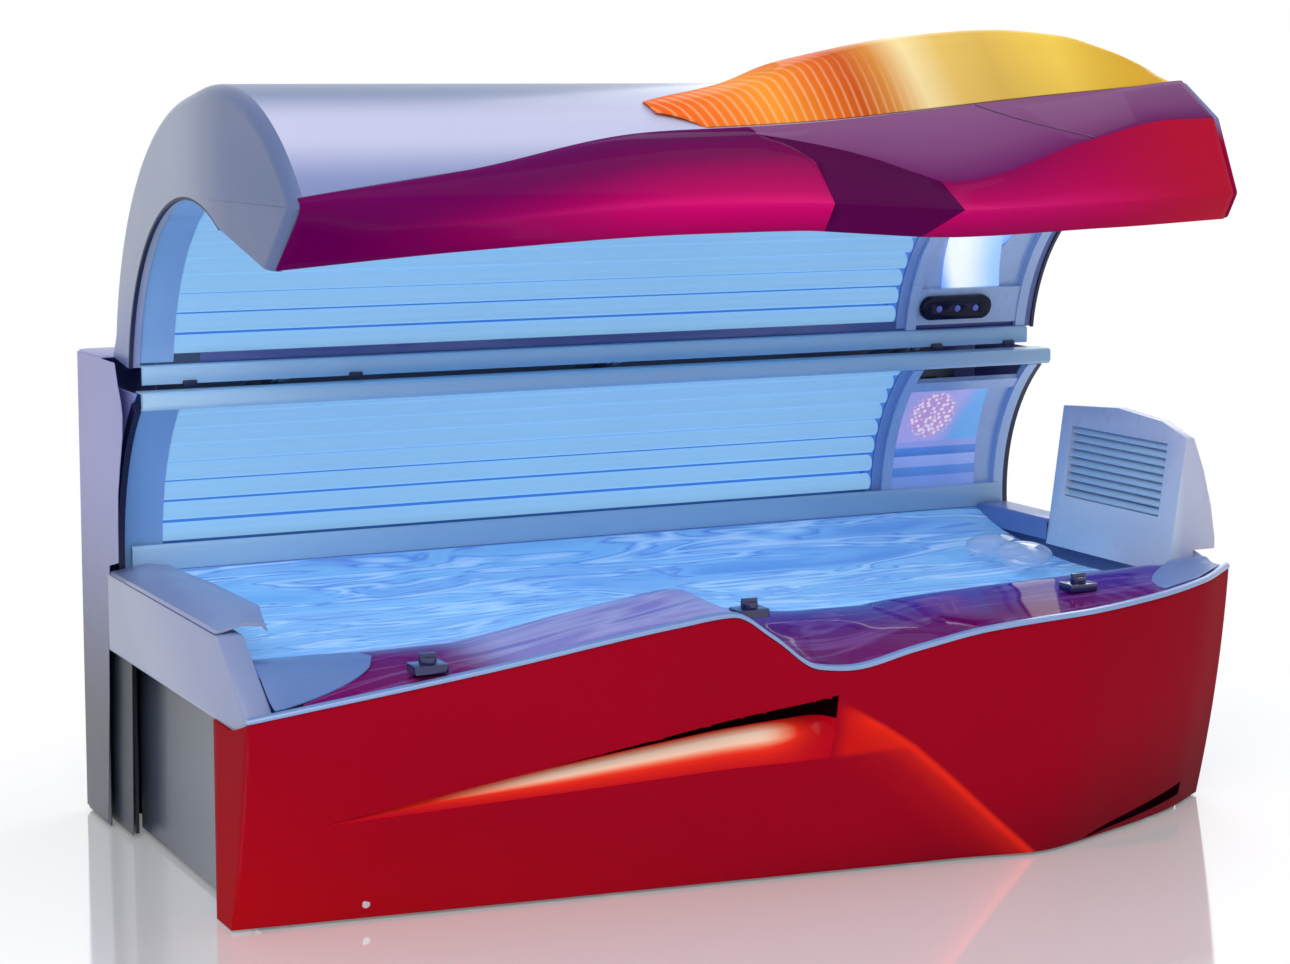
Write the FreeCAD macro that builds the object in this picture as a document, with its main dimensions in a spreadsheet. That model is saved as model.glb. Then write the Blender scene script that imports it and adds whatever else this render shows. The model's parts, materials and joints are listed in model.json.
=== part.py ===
import FreeCAD, Part
import Sketcher
import math
import os

# Clamshell tanning bed. X runs along the bed from the foot end to the head end, Y runs
# to the back, Z is up and the floor is z = 0. The canopy is drawn in its open position.

doc = FreeCAD.newDocument("TanningBed")
sheet = doc.addObject("Spreadsheet::Sheet", "Sizes")

sizes = {
    # canopy outline, seen from the end
    "canopyLength": 2220, "archRadius": 422, "archY": -45, "archZ": 938,
    "shellRearRadius": 604, "shellRearY": -121, "shellRearZ": 955,
    "shellFrontRadius": 575, "shellFrontY": -211, "shellFrontZ": 1000,
    "shellWall": 4, "visorWall": 4, "amberWall": 3, "endCapWall": 25, "archStart": 7.5, "archEnd": 118,
    "lowerBarDepth": 8, "lowerBarBottom": 957, "lowerBarTop": 995,
    # lamp tunnel layers, each outside the one before
    "shieldWall": 4, "coverGap": 2, "coverWall": 3, "lampGap": 7, "lampDiameter": 38,
    "lampWall": 1.2, "reflectorGap": 6, "reflectorWall": 2.5, "holderWidth": 22, "holderDepth": 34,
    "lampLength": 1740, "lampLeft": -1010, "tannerShare": 0.484, "lampPitch": 46, "canopyLamps": 18,
    # lower back panel
    "backRadius": 423, "backY": 52, "backZ": 590, "backStart": -8, "backEnd": 49.5,
    "backLamps": 8,
    # hinge of the canopy
    "hingeY": 385, "hingeZ": 965, "pinRadius": 8, "eyeRadius": 18, "eyeWidth": 12,
    "pinClearance": 0.05, "sideClearance": 0.5, "hingeSpacing": 780,
    # bench
    "benchLength": 2280, "benchBack": 455, "benchHeight": 553, "tubFloor": 402,
    "tubFront": -300, "tubWall": 3, "acrylicWall": 8, "benchLamps": 15,
    "benchLampLength": 1900, "benchLampLeft": -995,
    "seat": 0.3, "panelWall": 5, "panelClearance": 6, "returnDepth": 205, "trimHeight": 9, "trimDepth": 14,
    # column at the back
    "columnFront": 485, "columnBack": 680, "columnHeight": 1008, "columnWidth": 120,
    "columnWall": 4, "railBottom": 912, "railTop": 948, "railFront": 285, "railDepth": 60,
    "stripTop": 606, "stripWall": 3,
    # frame and feet
    "tubeWidth": 40, "tubeHeight": 40, "footRadius": 22, "footHeight": 12, "footTravel": 40,
    "frameFront": -250, "frameBack": 570, "frameHalf": 985, "panWall": 2,
    # head end air outlet
    "headLeft": 1046, "headBack": 165, "headFront": -305, "headTop": 822, "slatCount": 9,
    "slatPitch": 18, "slatWall": 4, "slatLeft": -242, "slatRight": 120,
    # small controls and latches
    "buttonRadius": 8, "buttonGap": 0.4, "buttonTravel": 1.5, "latchRadius": 17,
    "latchHeight": 16, "latchClearance": 0.4,
    "fanRadius": 88, "fanGap": 3, "fanBlades": 7, "fanDepth": 34,
}

for row, (alias, value) in enumerate(sizes.items(), 1):
    sheet.set("A%d" % row, alias)
    sheet.set("B%d" % row, str(value))
    sheet.setAlias("B%d" % row, alias)
doc.recompute()


def size(alias):
    return float(getattr(sheet, alias))


nodes = []


def newBody(label, base=(0, 0, 0)):
    body = doc.addObject("PartDesign::Body", label)
    body.Label = label
    body.Placement = FreeCAD.Placement(FreeCAD.Vector(*base), FreeCAD.Rotation())
    nodes.append(body)
    return body


def originOf(body, role):
    for feature in body.Origin.OriginFeatures:
        if feature.Role == role:
            return feature
    raise ValueError(role)


def newSketch(body, role, offset=0.0):
    sketch = body.newObject("Sketcher::SketchObject", body.Label + "_sketch")
    sketch.AttachmentSupport = [(originOf(body, role), "")]
    sketch.MapMode = "FlatFace"
    sketch.AttachmentOffset = FreeCAD.Placement(FreeCAD.Vector(0, 0, offset), FreeCAD.Rotation())
    return sketch


def point(u, v):
    return FreeCAD.Vector(u, v, 0)


def drawPolygon(sketch, corners):
    for index, corner in enumerate(corners):
        following = corners[(index + 1) % len(corners)]
        sketch.addGeometry(Part.LineSegment(point(*corner), point(*following)), False)


def drawCircle(sketch, u, v, alias, extra=0.0):
    geometry = sketch.addGeometry(
        Part.Circle(point(u, v), FreeCAD.Vector(0, 0, 1), size(alias) + extra), False)
    constraint = sketch.addConstraint(Sketcher.Constraint("Radius", geometry, size(alias) + extra))
    sketch.setExpression("Constraints[%d]" % constraint, "Sizes.%s + %s" % (alias, extra))


def curveThrough(curvePoints):
    curve = Part.BSplineCurve()
    curve.interpolate(Points=[point(*p) for p in curvePoints],
                      Parameters=[float(index) for index in range(len(curvePoints))])
    return curve


def drawCurve(sketch, curvePoints):
    sketch.addGeometry(curveThrough(curvePoints), False)


def valueOnCurve(curvePoints, known, wanted):
    # on a curve that always rises or falls in one coordinate: the other one at a given value
    curve = curveThrough(curvePoints)
    low, high = 0.0, float(len(curvePoints) - 1)
    rising = curvePoints[-1][known] > curvePoints[0][known]
    for _ in range(40):
        middle = (low + high) / 2
        here = curve.value(middle)
        if (here[known] < wanted) == rising:
            low = middle
        else:
            high = middle
    return curve.value((low + high) / 2)[1 - known]


def valueOnLine(linePoints, known, wanted):
    # the same on a run of straight lines
    for here, after in zip(linePoints, linePoints[1:]):
        low, high = sorted((here[known], after[known]))
        if low <= wanted <= high and high > low:
            share = (wanted - here[known]) / (after[known] - here[known])
            return here[1 - known] + (after[1 - known] - here[1 - known]) * share
    nearest = min(linePoints, key=lambda place: abs(place[known] - wanted))
    return nearest[1 - known]


def valueOnLoft(stations, x, known, wanted, straight=False):
    # the same on a skin whose stations are joined by straight lines
    find = valueOnLine if straight else valueOnCurve
    for low, high in zip(stations, stations[1:]):
        if x <= high[0]:
            share = (x - low[0]) / (high[0] - low[0])
            between = [(a[0] + (b[0] - a[0]) * share, a[1] + (b[1] - a[1]) * share)
                       for a, b in zip(low[1], high[1])]
            return find(between, known, wanted)
    return find(stations[-1][1], known, wanted)


def drawLine(sketch, start, end):
    sketch.addGeometry(Part.LineSegment(point(*start), point(*end)), False)


def drawArc(sketch, centre, radius, start, end):
    circle = Part.Circle(point(*centre), FreeCAD.Vector(0, 0, 1), radius)
    sketch.addGeometry(Part.ArcOfCircle(circle, math.radians(start), math.radians(end)), False)


def onCircle(centre, radius, angle):
    turn = math.radians(angle)
    return (centre[0] + radius * math.cos(turn), centre[1] + radius * math.sin(turn))


def drawBand(sketch, centre, inner, outer, start, end):
    drawArc(sketch, centre, inner, start, end)
    drawArc(sketch, centre, outer, start, end)
    drawLine(sketch, onCircle(centre, inner, start), onCircle(centre, outer, start))
    drawLine(sketch, onCircle(centre, inner, end), onCircle(centre, outer, end))


def pad(body, sketch, length, expression=None, reverse=False, both=False):
    feature = body.newObject("PartDesign::Pad", body.Label + "_pad")
    feature.Profile = sketch
    feature.Length = length
    feature.Reversed = reverse
    feature.Midplane = both
    if expression:
        feature.setExpression("Length", expression)
    return feature


def pocket(body, sketch, length, expected=True, reverse=False, both=False):
    before = body.Shape.Volume
    feature = body.newObject("PartDesign::Pocket", body.Label + "_pocket")
    feature.Profile = sketch
    feature.Length = length
    feature.Reversed = reverse
    feature.Midplane = both
    doc.recompute()
    if expected and body.Shape.Volume >= before - 1:
        raise ValueError(body.Label + ": the pocket misses the solid")
    return feature


def linearPattern(body, feature, role, length, count):
    pattern = body.newObject("PartDesign::LinearPattern", body.Label + "_pattern")
    pattern.Originals = [feature]
    pattern.Direction = (originOf(body, role), [""])
    pattern.Length = length
    pattern.Occurrences = count
    body.Tip = pattern
    return pattern


def polarPattern(body, feature, role, angle, count):
    pattern = body.newObject("PartDesign::PolarPattern", body.Label + "_pattern")
    pattern.Originals = [feature]
    pattern.Axis = (originOf(body, role), [""])
    pattern.Angle = angle
    pattern.Occurrences = count
    body.Tip = pattern
    return pattern


def keepShape(label, shape, base=(0, 0, 0), turn=0.0, axis=(1, 0, 0)):
    feature = doc.addObject("Part::Feature", label)
    feature.Label = label
    if not shape.Placement.isIdentity():
        shape = Part.makeCompound([shape])
    feature.Shape = shape
    feature.Placement = FreeCAD.Placement(
        FreeCAD.Vector(*base), FreeCAD.Rotation(FreeCAD.Vector(*axis), turn))
    nodes.append(feature)
    return feature


def boxAt(x0, x1, y0, y1, z0, z1):
    return Part.makeBox(x1 - x0, y1 - y0, z1 - z0, FreeCAD.Vector(x0, y0, z0))


def rodAt(start, end, radius):
    begin = FreeCAD.Vector(*start)
    run = FreeCAD.Vector(*end) - begin
    return Part.makeCylinder(radius, run.Length, begin, run)


def fused(shapes):
    return shapes[0].multiFuse(shapes[1:]).removeSplitter()


def blendTable(table, x):
    # smooth steps between the rows of a table that is sorted by its first column
    if x <= table[0][0]:
        return table[0][1:]
    for low, high in zip(table, table[1:]):
        if x <= high[0]:
            part = (x - low[0]) / (high[0] - low[0])
            return tuple(a + (b - a) * part for a, b in zip(low[1:], high[1:]))
    return table[-1][1:]


def offsetPoints(line, distance):
    # moves an open run of points sideways, to the left of its direction
    moved = []
    for index, here in enumerate(line):
        before = line[max(index - 1, 0)]
        after = line[min(index + 1, len(line) - 1)]
        du = after[0] - before[0]
        dv = after[1] - before[1]
        length = math.hypot(du, dv)
        moved.append((here[0] - dv / length * distance, here[1] + du / length * distance))
    return moved


def skinLoft(label, stations, wall, straight=False):
    # a sheet of even wall: each station is (x, points of the outer face, seen from the end)
    body = newBody(label)
    sketches = []
    for x, outer in stations:
        sketch = newSketch(body, "YZ_Plane", x)
        inner = offsetPoints(outer, wall)
        if straight:
            drawPolygon(sketch, outer + inner[::-1])
        else:
            drawCurve(sketch, outer)
            drawLine(sketch, outer[-1], inner[-1])
            drawCurve(sketch, inner[::-1])
            drawLine(sketch, inner[0], outer[0])
        sketches.append(sketch)
    loft = body.newObject("PartDesign::AdditiveLoft", label + "_loft")
    loft.Profile = sketches[0]
    loft.Sections = sketches[1:]
    loft.Ruled = True
    return body



# ---- shared lines -----------------------------------------------------------------------

arch = (size("archY"), size("archZ"))
back = (size("backY"), size("backZ"))
shellRear = (size("shellRearY"), size("shellRearZ"))
shellFront = (size("shellFrontY"), size("shellFrontZ"))
half = size("canopyLength") / 2
benchHalf = size("benchLength") / 2
shieldWall = size("shieldWall")
coverIn = shieldWall + size("coverGap")
lampOut = shieldWall + size("lampGap") + size("lampDiameter") / 2
reflectorIn = lampOut + size("lampDiameter") / 2 + size("reflectorGap")
reflectorOut = reflectorIn + size("reflectorWall")

# front panel: place as a share of half the bench, y of the bottom, y and z of the top
panelTable = [
    (-1, -345, -462, 420), (-0.614, -400, -530, 487), (-0.2895, -444, -582, 549),
    (-0.1886, -457, -594, 562), (-0.114, -467, -603, 512), (-0.0351, -478, -614, 449),
    (0.0263, -486, -621, 442), (0.1491, -503, -636, 470), (0.2921, -522, -650, 498),
    (0.4675, -544, -645, 508), (0.6667, -478, -590, 514), (0.8421, -395, -505, 521),
    (0.9737, -300, -397, 526),
]
panelTable = [(row[0] * benchHalf,) + row[1:] for row in panelTable]
# visor: place as a share of half the canopy, y of the upper edge on the shell, then y and z
# of the fold, the brow and the lip
visorTable = [
    (-1, -648, -650, 1347, -604, 1310, -524, 1246),
    (-0.6766, -604, -664, 1372, -668, 1332, -612, 1279),
    (-0.3198, -526, -650, 1425, -706, 1358, -690, 1302),
    (-0.1261, -514, -640, 1432, -722, 1357, -708, 1304),
    (0.027, -500, -650, 1420, -735, 1345, -722, 1292),
    (0.1919, -474, -670, 1388, -740, 1337, -715, 1284),
    (0.5405, -400, -565, 1460, -652, 1341, -630, 1288),
    (0.8108, -325, -430, 1498, -520, 1340, -495, 1287),
    (1, -212, -330, 1500, -402, 1340, -368, 1284),
]
visorTable = [(row[0] * half,) + row[1:] for row in visorTable]
# amber cover: place as above, y of its ridge, height of the ridge over the shell, y of the back
amberTable = [
    (-0.2883, -470, 10, -415), (-0.1153, -440, 34, -320), (0.0306, -405, 76, -200),
    (0.2676, -360, 112, -130), (0.4712, -330, 121, -110), (0.6243, -315, 109, -110),
    (0.7459, -285, 78, -105), (0.8676, -235, 38, -95), (0.9324, -195, 12, -100),
]
amberTable = [(row[0] * half,) + row[1:] for row in amberTable]


def shellTop():
    # the straight run that touches both outer arcs of the shell
    du = shellRear[0] - shellFront[0]
    dv = shellRear[1] - shellFront[1]
    distance = math.hypot(du, dv)
    lean = math.asin((size("shellRearRadius") - size("shellFrontRadius")) / distance)
    return 90 + math.degrees(math.atan2(dv, du) + lean)


def shellHeight(y):
    # height of the outer skin of the shell above a given y, over its front and its crown
    top = shellTop()
    rear = onCircle(shellRear, size("shellRearRadius"), top)
    front = onCircle(shellFront, size("shellFrontRadius"), top)
    if y < front[0]:
        return shellFront[1] + math.sqrt(size("shellFrontRadius") ** 2 - (y - shellFront[0]) ** 2)
    return front[1] + (rear[1] - front[1]) * (y - front[0]) / (rear[0] - front[0])


def visorStation(x):
    row = blendTable(visorTable, x)
    lap = size("visorWall") + 4 * size("seat")
    return [(row[0], shellHeight(row[0]) + lap), (row[1], row[2]), (row[3], row[4]), (row[5], row[6])]


def frontPanelStation(x):
    yBottom, yTop, zTop = blendTable(panelTable, x)
    zBottom = size("panelClearance")
    rise = zTop - zBottom
    run = yTop - yBottom
    return [(yBottom + run * share + bulge, zBottom + rise * share)
            for share, bulge in ((0, 0), (0.3, -10), (0.65, -14), (1, 0))]


def panelStations():
    return [(row[0], frontPanelStation(row[0])) for row in panelTable]


def panelInside(x, z):
    # y of the inner face of the front panel at a height
    inner = [(row, offsetPoints(line, -size("panelWall"))) for row, line in panelStations()]
    return valueOnLoft(inner, x, 1, z)


def postInside():
    # half the distance between the end posts of the back wall
    return benchHalf - 4 - size("columnWidth")


# ---- base -------------------------------------------------------------------------------

def makeBaseFrame():
    tube = size("tubeWidth")
    low = size("footTravel")
    front = size("frameFront")
    rear = size("frameBack")
    span = size("frameHalf")
    deck = size("tubFloor") - size("tubWall")
    top = size("railBottom") - 12
    members = []
    reach = {front: span + tube / 2, rear: postInside() - size("seat")}
    for y in (front, rear):
        members.append(boxAt(-reach[y], reach[y], y, y + tube, low, low + tube))
        members.append(boxAt(-reach[y], reach[y], y, y + tube, deck - tube, deck))
    members.append(boxAt(-span, span, front, rear + tube / 2, low + tube,
                         low + tube + size("panWall")))
    for x in (-span, -span / 3, span / 3, span):
        members.append(boxAt(x - tube / 2, x + tube / 2, front, rear + tube, low, low + tube))
        members.append(boxAt(x - tube / 2, x + tube / 2, front, rear + tube, deck - tube, deck))
        members.append(boxAt(x - tube / 2, x + tube / 2, front, front + tube, low, deck))
        members.append(boxAt(x - tube / 2, x + tube / 2, rear, rear + tube, low, top))
        # rib that carries the curved reflector of the lower back
        rib = boxAt(x - 3, x + 3, 430, rear, 560, top - tube)
        keepOut = size("backRadius") + reflectorOut + size("seat")
        members.append(rib.cut(rodAt((x - 5, back[0], back[1]), (x + 5, back[0], back[1]), keepOut)))
        # arms that hold the front panel
        for z in (low + 2, deck - tube):
            y = max(panelInside(x + side, level) for side in (-14, 14) for level in (z, z + tube))
            members.append(boxAt(x - 14, x + 14, y + size("seat"), front, z, z + tube))
    members.append(boxAt(-reach[rear], reach[rear], rear, rear + tube, top - tube, top))
    keepShape("base_frame", fused(members))


def makeFeet():
    span = size("frameHalf")
    tube = size("tubeWidth")
    rows = (size("frameFront") + tube / 2, size("frameBack") + tube / 2)
    feet = []
    for x in (-span, -span / 3, span / 3, span):
        for y in rows:
            sole = Part.makeCone(size("footRadius"), size("footRadius") * 0.6, size("footHeight"),
                                 FreeCAD.Vector(x, y, 0))
            stem = rodAt((x, y, size("footHeight")), (x, y, size("footTravel")),
                         size("footRadius") * 0.28)
            feet.append(sole.fuse(stem))
    keepShape("levelling_feet", Part.makeCompound(feet))


def makeFrontPanel():
    body = skinLoft("front_panel", panelStations(), -size("panelWall"))
    doc.recompute()
    # the panel turns back round both ends of the bench, under the end bands
    low = size("panelClearance")
    wall = size("panelWall")
    for row, away in ((panelTable[0], 0), (panelTable[-1], -wall)):
        curve = curveThrough(offsetPoints(frontPanelStation(row[0]), -wall / 2))
        edge = [curve.value(step / 4) for step in range(13)]
        rear = row[2] + size("returnDepth")
        if away:
            rear = row[2] + 0.8 * size("returnDepth")
            head = [(rear, 404), (-371, 468)]
        else:
            head = [(rear, 389.5), (-440, 397)]
        front = [(v.x, v.y) for v in edge if v.y < head[-1][1]]
        sketch = newSketch(body, "YZ_Plane", row[0] + away)
        drawPolygon(sketch, [(rear, low)] + head
                    + [(valueOnCurve([(v.x, v.y) for v in edge], 1, head[-1][1]), head[-1][1])]
                    + front[::-1])
        pad(body, sketch, wall)
    doc.recompute()
    # the long wedge of the air scoop
    sketch = newSketch(body, "XZ_Plane")
    drawPolygon(sketch, [(-0.886 * benchHalf, 208), (10, 388), (10, 268)])
    pocket(body, sketch, 700, reverse=True)
    return body


def makeScoop():
    # liner behind the wedge: flush at its lower edge, set back under its upper edge
    body = newBody("intake_scoop")
    sketches = []
    wall = 3
    tip = -0.86 * benchHalf
    scoop = [(tip, 210, 222, 4), (-0.3947 * benchHalf, 232, 314, 26), (14, 260, 398, 62)]
    for x in [tip] + [row[0] for row in panelTable[1:6]] + [14]:
        zLow, zHigh, depth = blendTable(scoop, x)
        yLow = panelInside(x, zLow) + 4 * size("seat")
        yHigh = panelInside(x, zHigh) + 4 * size("seat")
        sketch = newSketch(body, "YZ_Plane", x)
        drawPolygon(sketch, [(yLow + 0.5, zLow - 4), (yHigh + depth + 3, zHigh - 4),
                             (yHigh + 2.5, zHigh + 3), (yHigh + 2.5, zHigh + 3 + wall),
                             (yHigh + depth + 3 + wall, zHigh - 4 + wall),
                             (yLow + 0.5 + wall, zLow - 4)])
        sketches.append(sketch)
    loft = body.newObject("PartDesign::AdditiveLoft", "intake_scoop_loft")
    loft.Profile = sketches[0]
    loft.Sections = sketches[1:]
    loft.Ruled = True


def makeTrim():
    stations = []
    body = newBody("front_trim_strip")
    depth = size("trimDepth")
    height = size("trimHeight")
    for row in panelTable:
        x, _, yTop, zTop = row
        sketch = newSketch(body, "YZ_Plane", x)
        low = zTop + 1.6
        drawPolygon(sketch, [(yTop - 3, low), (yTop - 3, zTop + height),
                             (yTop - 3 + depth, zTop + height + 2), (yTop - 3 + depth, low)])
        stations.append(sketch)
    loft = body.newObject("PartDesign::AdditiveLoft", "front_trim_strip_loft")
    loft.Profile = stations[0]
    loft.Sections = stations[1:]
    loft.Ruled = True


def makeSidePanels():
    inset = benchHalf - 55
    low = size("panelClearance") + 6
    high = size("benchHeight") - 163 + 6
    left = boxAt(-inset, -inset + 5, -300, 425, low, high)
    right = boxAt(inset - 5, inset, -255, 425, low, high)
    keepShape("side_panels", Part.makeCompound([left, right]))


def makeEndBands():
    # rim at both ends of the bench; the front run drops to the corner of the red panel
    top = size("benchHeight")
    rear = 463
    inset = benchHalf - 55
    bands = []
    profile = [(rear, top - 163), (rear, top), (-278, top - 2), (-446, 428), (-441, 398),
               (-238, top - 163)]
    outer = Part.makePolygon([FreeCAD.Vector(-benchHalf + 2, y, z) for y, z in profile + profile[:1]])
    bands.append(Part.Face(outer).extrude(FreeCAD.Vector(benchHalf - 2 - inset, 0, 0)))
    profile = [(rear, top - 163), (rear, top), (-270, top - 2), (-375, 522), (-372, 470),
               (-200, top - 163)]
    outer = Part.makePolygon([FreeCAD.Vector(inset, y, z) for y, z in profile + profile[:1]])
    bands.append(Part.Face(outer).extrude(FreeCAD.Vector(24, 0, 0)))
    keepShape("end_bands", Part.makeCompound(bands))


def makeFootCover():
    # raised wing over the foot end with a turned-down inner edge
    body = newBody("foot_end_cover")
    sketches = []
    top = size("benchHeight")
    left = -benchHalf + 4
    for y, wide, rise, drop in ((size("benchBack"), 126, 16, 6), (300, 132, 20, 16), (150, 136, 24, 34),
                                (-150, 131, 30, 40), (-262, 101, 16, 18)):
        xIn = left + wide
        sketch = newSketch(body, "XZ_Plane", -y)
        skin = [(left, top + size("seat")), (left + 5, top + 6), (xIn - 44, top + rise),
                (xIn - 6, top + rise - 5), (xIn + 4, top + rise - drop)]
        under = [(xIn - 1, top + rise - drop), (xIn - 10, top + rise - 9),
                 (xIn - 46, top + rise - 5), (left + 12, top + size("seat"))]
        drawPolygon(sketch, skin + under)
        sketches.append(sketch)
    loft = body.newObject("PartDesign::AdditiveLoft", "foot_end_cover_loft")
    loft.Profile = sketches[0]
    loft.Sections = sketches[1:]
    loft.Ruled = True


def benchStations():
    rightEnd = size("headLeft") - 30 - size("seat")
    inner = [row[0] for row in panelTable[1:-1] if row[0] < rightEnd - 20]
    places = [-benchHalf + 110, inner[0], -0.3947 * benchHalf] + inner[1:] + [rightEnd]
    return [(x, benchLine(x)) for x in places]


def benchSurface(x, y):
    # height of the lying surface
    stations = benchStations()
    if x < stations[0][0] or x > stations[-1][0]:
        return valueOnLine(benchLine(x), 0, y)
    return valueOnLoft(stations, x, 0, y, straight=True)


def makeCornerCovers():
    # lids over the two front corners of the bench, rounded towards the lying surface: a skin
    # just above the acrylic, trimmed to the outline of the lid
    solids = []
    outside = benchHalf - 55 - size("seat")
    for side, reach, rowTotal in ((-1, 225, 13), (1, 250, 13)):
        front, back = [], []
        for index in range(rowTotal):
            share = index / (rowTotal - 1)
            x = side * (outside - reach * share)
            wide = math.sqrt(1 - share ** 2)
            edge = benchStation(x)[-1][0] + 6
            if side < 0:
                low, high = max(-355 - 101 * wide, edge), -355 + 92 * wide
            else:
                low, high = edge, min(edge + 24 + 110 * wide, size("headFront") - 2)
            front.append((x, low))
            back.append((x, high))
        outline = front + back[::-1]
        if math.dist(front[-1], back[-1]) < 1:
            outline = front + back[-2::-1]
        corners = [FreeCAD.Vector(x, y, 300) for x, y in outline + outline[:1]]
        prism = Part.Face(Part.makePolygon(corners)).extrude(FreeCAD.Vector(0, 0, 400))
        ends = sorted([side * outside, side * (outside - reach)])
        places = [ends[0]] + [x for x, _ in benchStations() if ends[0] < x < ends[1]] + [ends[1]]
        sections = []
        for x in places:
            run = benchLine(x)[3 * benchSteps:]
            line = [FreeCAD.Vector(x, a, b + 2 * size("seat")) for a, b in run]
            upper = [FreeCAD.Vector(x, v.y, v.z + 3) for v in line]
            sections.append(Part.makePolygon(line + upper[::-1] + line[:1]))
        skin = Part.makeLoft(sections, True, True)
        solids.append(max(skin.common(prism).Solids, key=lambda solid: solid.Volume))
    # lid behind the hood of the head end, resting on the end band
    top = size("benchHeight")
    left = size("headLeft") - 30
    right = benchHalf - 33
    outline = [(left, top - 40), (left, top + 5), (left + 4, top + 9), (right - 8, top + 6),
               (right, top + size("seat")), (left + 3, top + size("seat")), (left + 3, top - 40)]
    start = size("headBack") + size("seat")
    wire = Part.makePolygon([FreeCAD.Vector(x, start, z) for x, z in outline + outline[:1]])
    solids.append(Part.Face(wire).extrude(FreeCAD.Vector(0, size("benchBack") - start, 0)))
    keepShape("corner_covers", Part.makeCompound(solids))


def makeHeadHousing():
    # curved hood at the head end, hollow behind its louvred face
    body = newBody("head_housing")
    left = size("headLeft")
    top = size("headTop")
    base = size("benchHeight") + size("seat")
    inside = benchHalf - 55 - size("seat")
    sketches = []
    for y, lift, less in ((size("headBack"), 5, 26), (-50, 21, 10), (-215, 8, 2),
                          (size("headFront"), -20, 0)):
        right = benchHalf + 2 - less
        sketch = newSketch(body, "XZ_Plane", -y)
        drawPolygon(sketch, [(left - 30, base - 50), (left + 14, top + lift),
                             (left + 35, top + lift - 1), (right - 34, top + lift - 71),
                             (right - 12, base + 96), (right, base + 24), (right, base),
                             (inside, base), (inside, base - 50)])
        sketches.append(sketch)
    loft = body.newObject("PartDesign::AdditiveLoft", "head_housing_loft")
    loft.Profile = sketches[0]
    loft.Sections = sketches[1:]
    loft.Ruled = True
    doc.recompute()
    # window for the slats
    window = newSketch(body, "YZ_Plane", left - 40)
    zLow = base + 68
    zHigh = zLow + size("slatPitch") * size("slatCount")
    near, far = size("slatLeft"), size("slatRight")
    drawPolygon(window, [(near, zLow), (far, zLow), (far, zHigh), (near, zHigh)])
    pocket(body, window, 68, reverse=True)
    return body


def makeLouvres():
    left = size("headLeft")
    base = size("benchHeight") + size("seat")
    zLow = base + 68
    slats = []
    count = int(size("slatCount"))
    for index in range(count):
        z = zLow + size("slatPitch") * (index + 0.5)
        x = left - 20 + (z - base + 50) * 44.0 / (size("headTop") - base + 50)
        slat = boxAt(-9, 9, size("slatLeft"), size("slatRight"), -size("slatWall") / 2,
                     size("slatWall") / 2)
        slat.Placement = FreeCAD.Placement(
            FreeCAD.Vector(x, 0, z), FreeCAD.Rotation(FreeCAD.Vector(0, 1, 0), -32))
        slats.append(slat)
    keepShape("head_louvres", Part.makeCompound(slats))


def makeRearCheeks():
    # hollow end posts of the back wall
    front = size("columnFront")
    rear = size("columnBack")
    top = size("columnHeight")
    wall = size("columnWall")
    width = size("columnWidth")
    low = size("panelClearance")
    posts = []
    for x in (-benchHalf + 4, benchHalf - 4 - width):
        block = boxAt(x, x + width, front, rear, low, top)
        edges = [e for e in block.Edges if abs(e.BoundBox.ZLength - (top - low)) < 0.1
                 and e.BoundBox.YMin > rear - 1]
        block = block.makeFillet(28, edges)
        hollow = boxAt(x + wall, x + width - wall, front - 1, rear - wall, low - 1, top - wall)
        hollowEdges = [e for e in hollow.Edges if e.BoundBox.ZLength > 100
                       and e.BoundBox.YMin > rear - wall - 1]
        hollow = hollow.makeFillet(24, hollowEdges)
        post = block.cut(hollow)
        behind = size("backRadius") + reflectorOut + size("seat")
        post = post.cut(rodAt((x - 1, back[0], back[1]), (x + width + 1, back[0], back[1]), behind))
        # curved front flange that carries the end of the lower back
        edge = -half if x < 0 else half - 6
        flange = boxAt(edge, edge + 6, 300, front + 30, 545, size("railTop") - 4)
        keepOut = size("backRadius") + 24 + size("seat")
        flange = flange.cut(rodAt((edge - 1, back[0], back[1]), (edge + 7, back[0], back[1]), keepOut))
        posts.append(post.fuse(flange))
    keepShape("rear_cheeks", Part.makeCompound(posts))


def makeCheekStrips():
    # dark filler between the end posts and the side panels
    low = size("panelClearance")
    front = size("columnFront")
    high = size("benchHeight") - 163
    left = boxAt(-benchHalf + 34, -benchHalf + 42, 400, front, low, high)
    right = boxAt(benchHalf - 42, benchHalf - 34, 400, front, low, high)
    keepShape("cheek_strips", Part.makeCompound([left, right]))


def makeRearPanel():
    width = 2 * (benchHalf - 4 - size("columnWidth"))
    body = newBody("rear_panel", (-width / 2, size("columnBack") - 30, 0))
    low = size("panelClearance")
    top = size("columnHeight")
    sketch = newSketch(body, "XZ_Plane")
    drawPolygon(sketch, [(0, low), (width, low), (width, top - 3), (0, top - 3)])
    pad(body, sketch, 3, reverse=True)
    doc.recompute()
    fan = newSketch(body, "XZ_Plane")
    drawCircle(fan, width / 2 + 500, 640, "fanRadius")
    pocket(body, fan, 20, both=True)
    vents = newSketch(body, "XZ_Plane")
    drawPolygon(vents, [(250, 150), (560, 150), (560, 158), (250, 158)])
    slot = pocket(body, vents, 20, both=True)
    linearPattern(body, slot, "Z_Axis", 168, 8)
    return body


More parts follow.
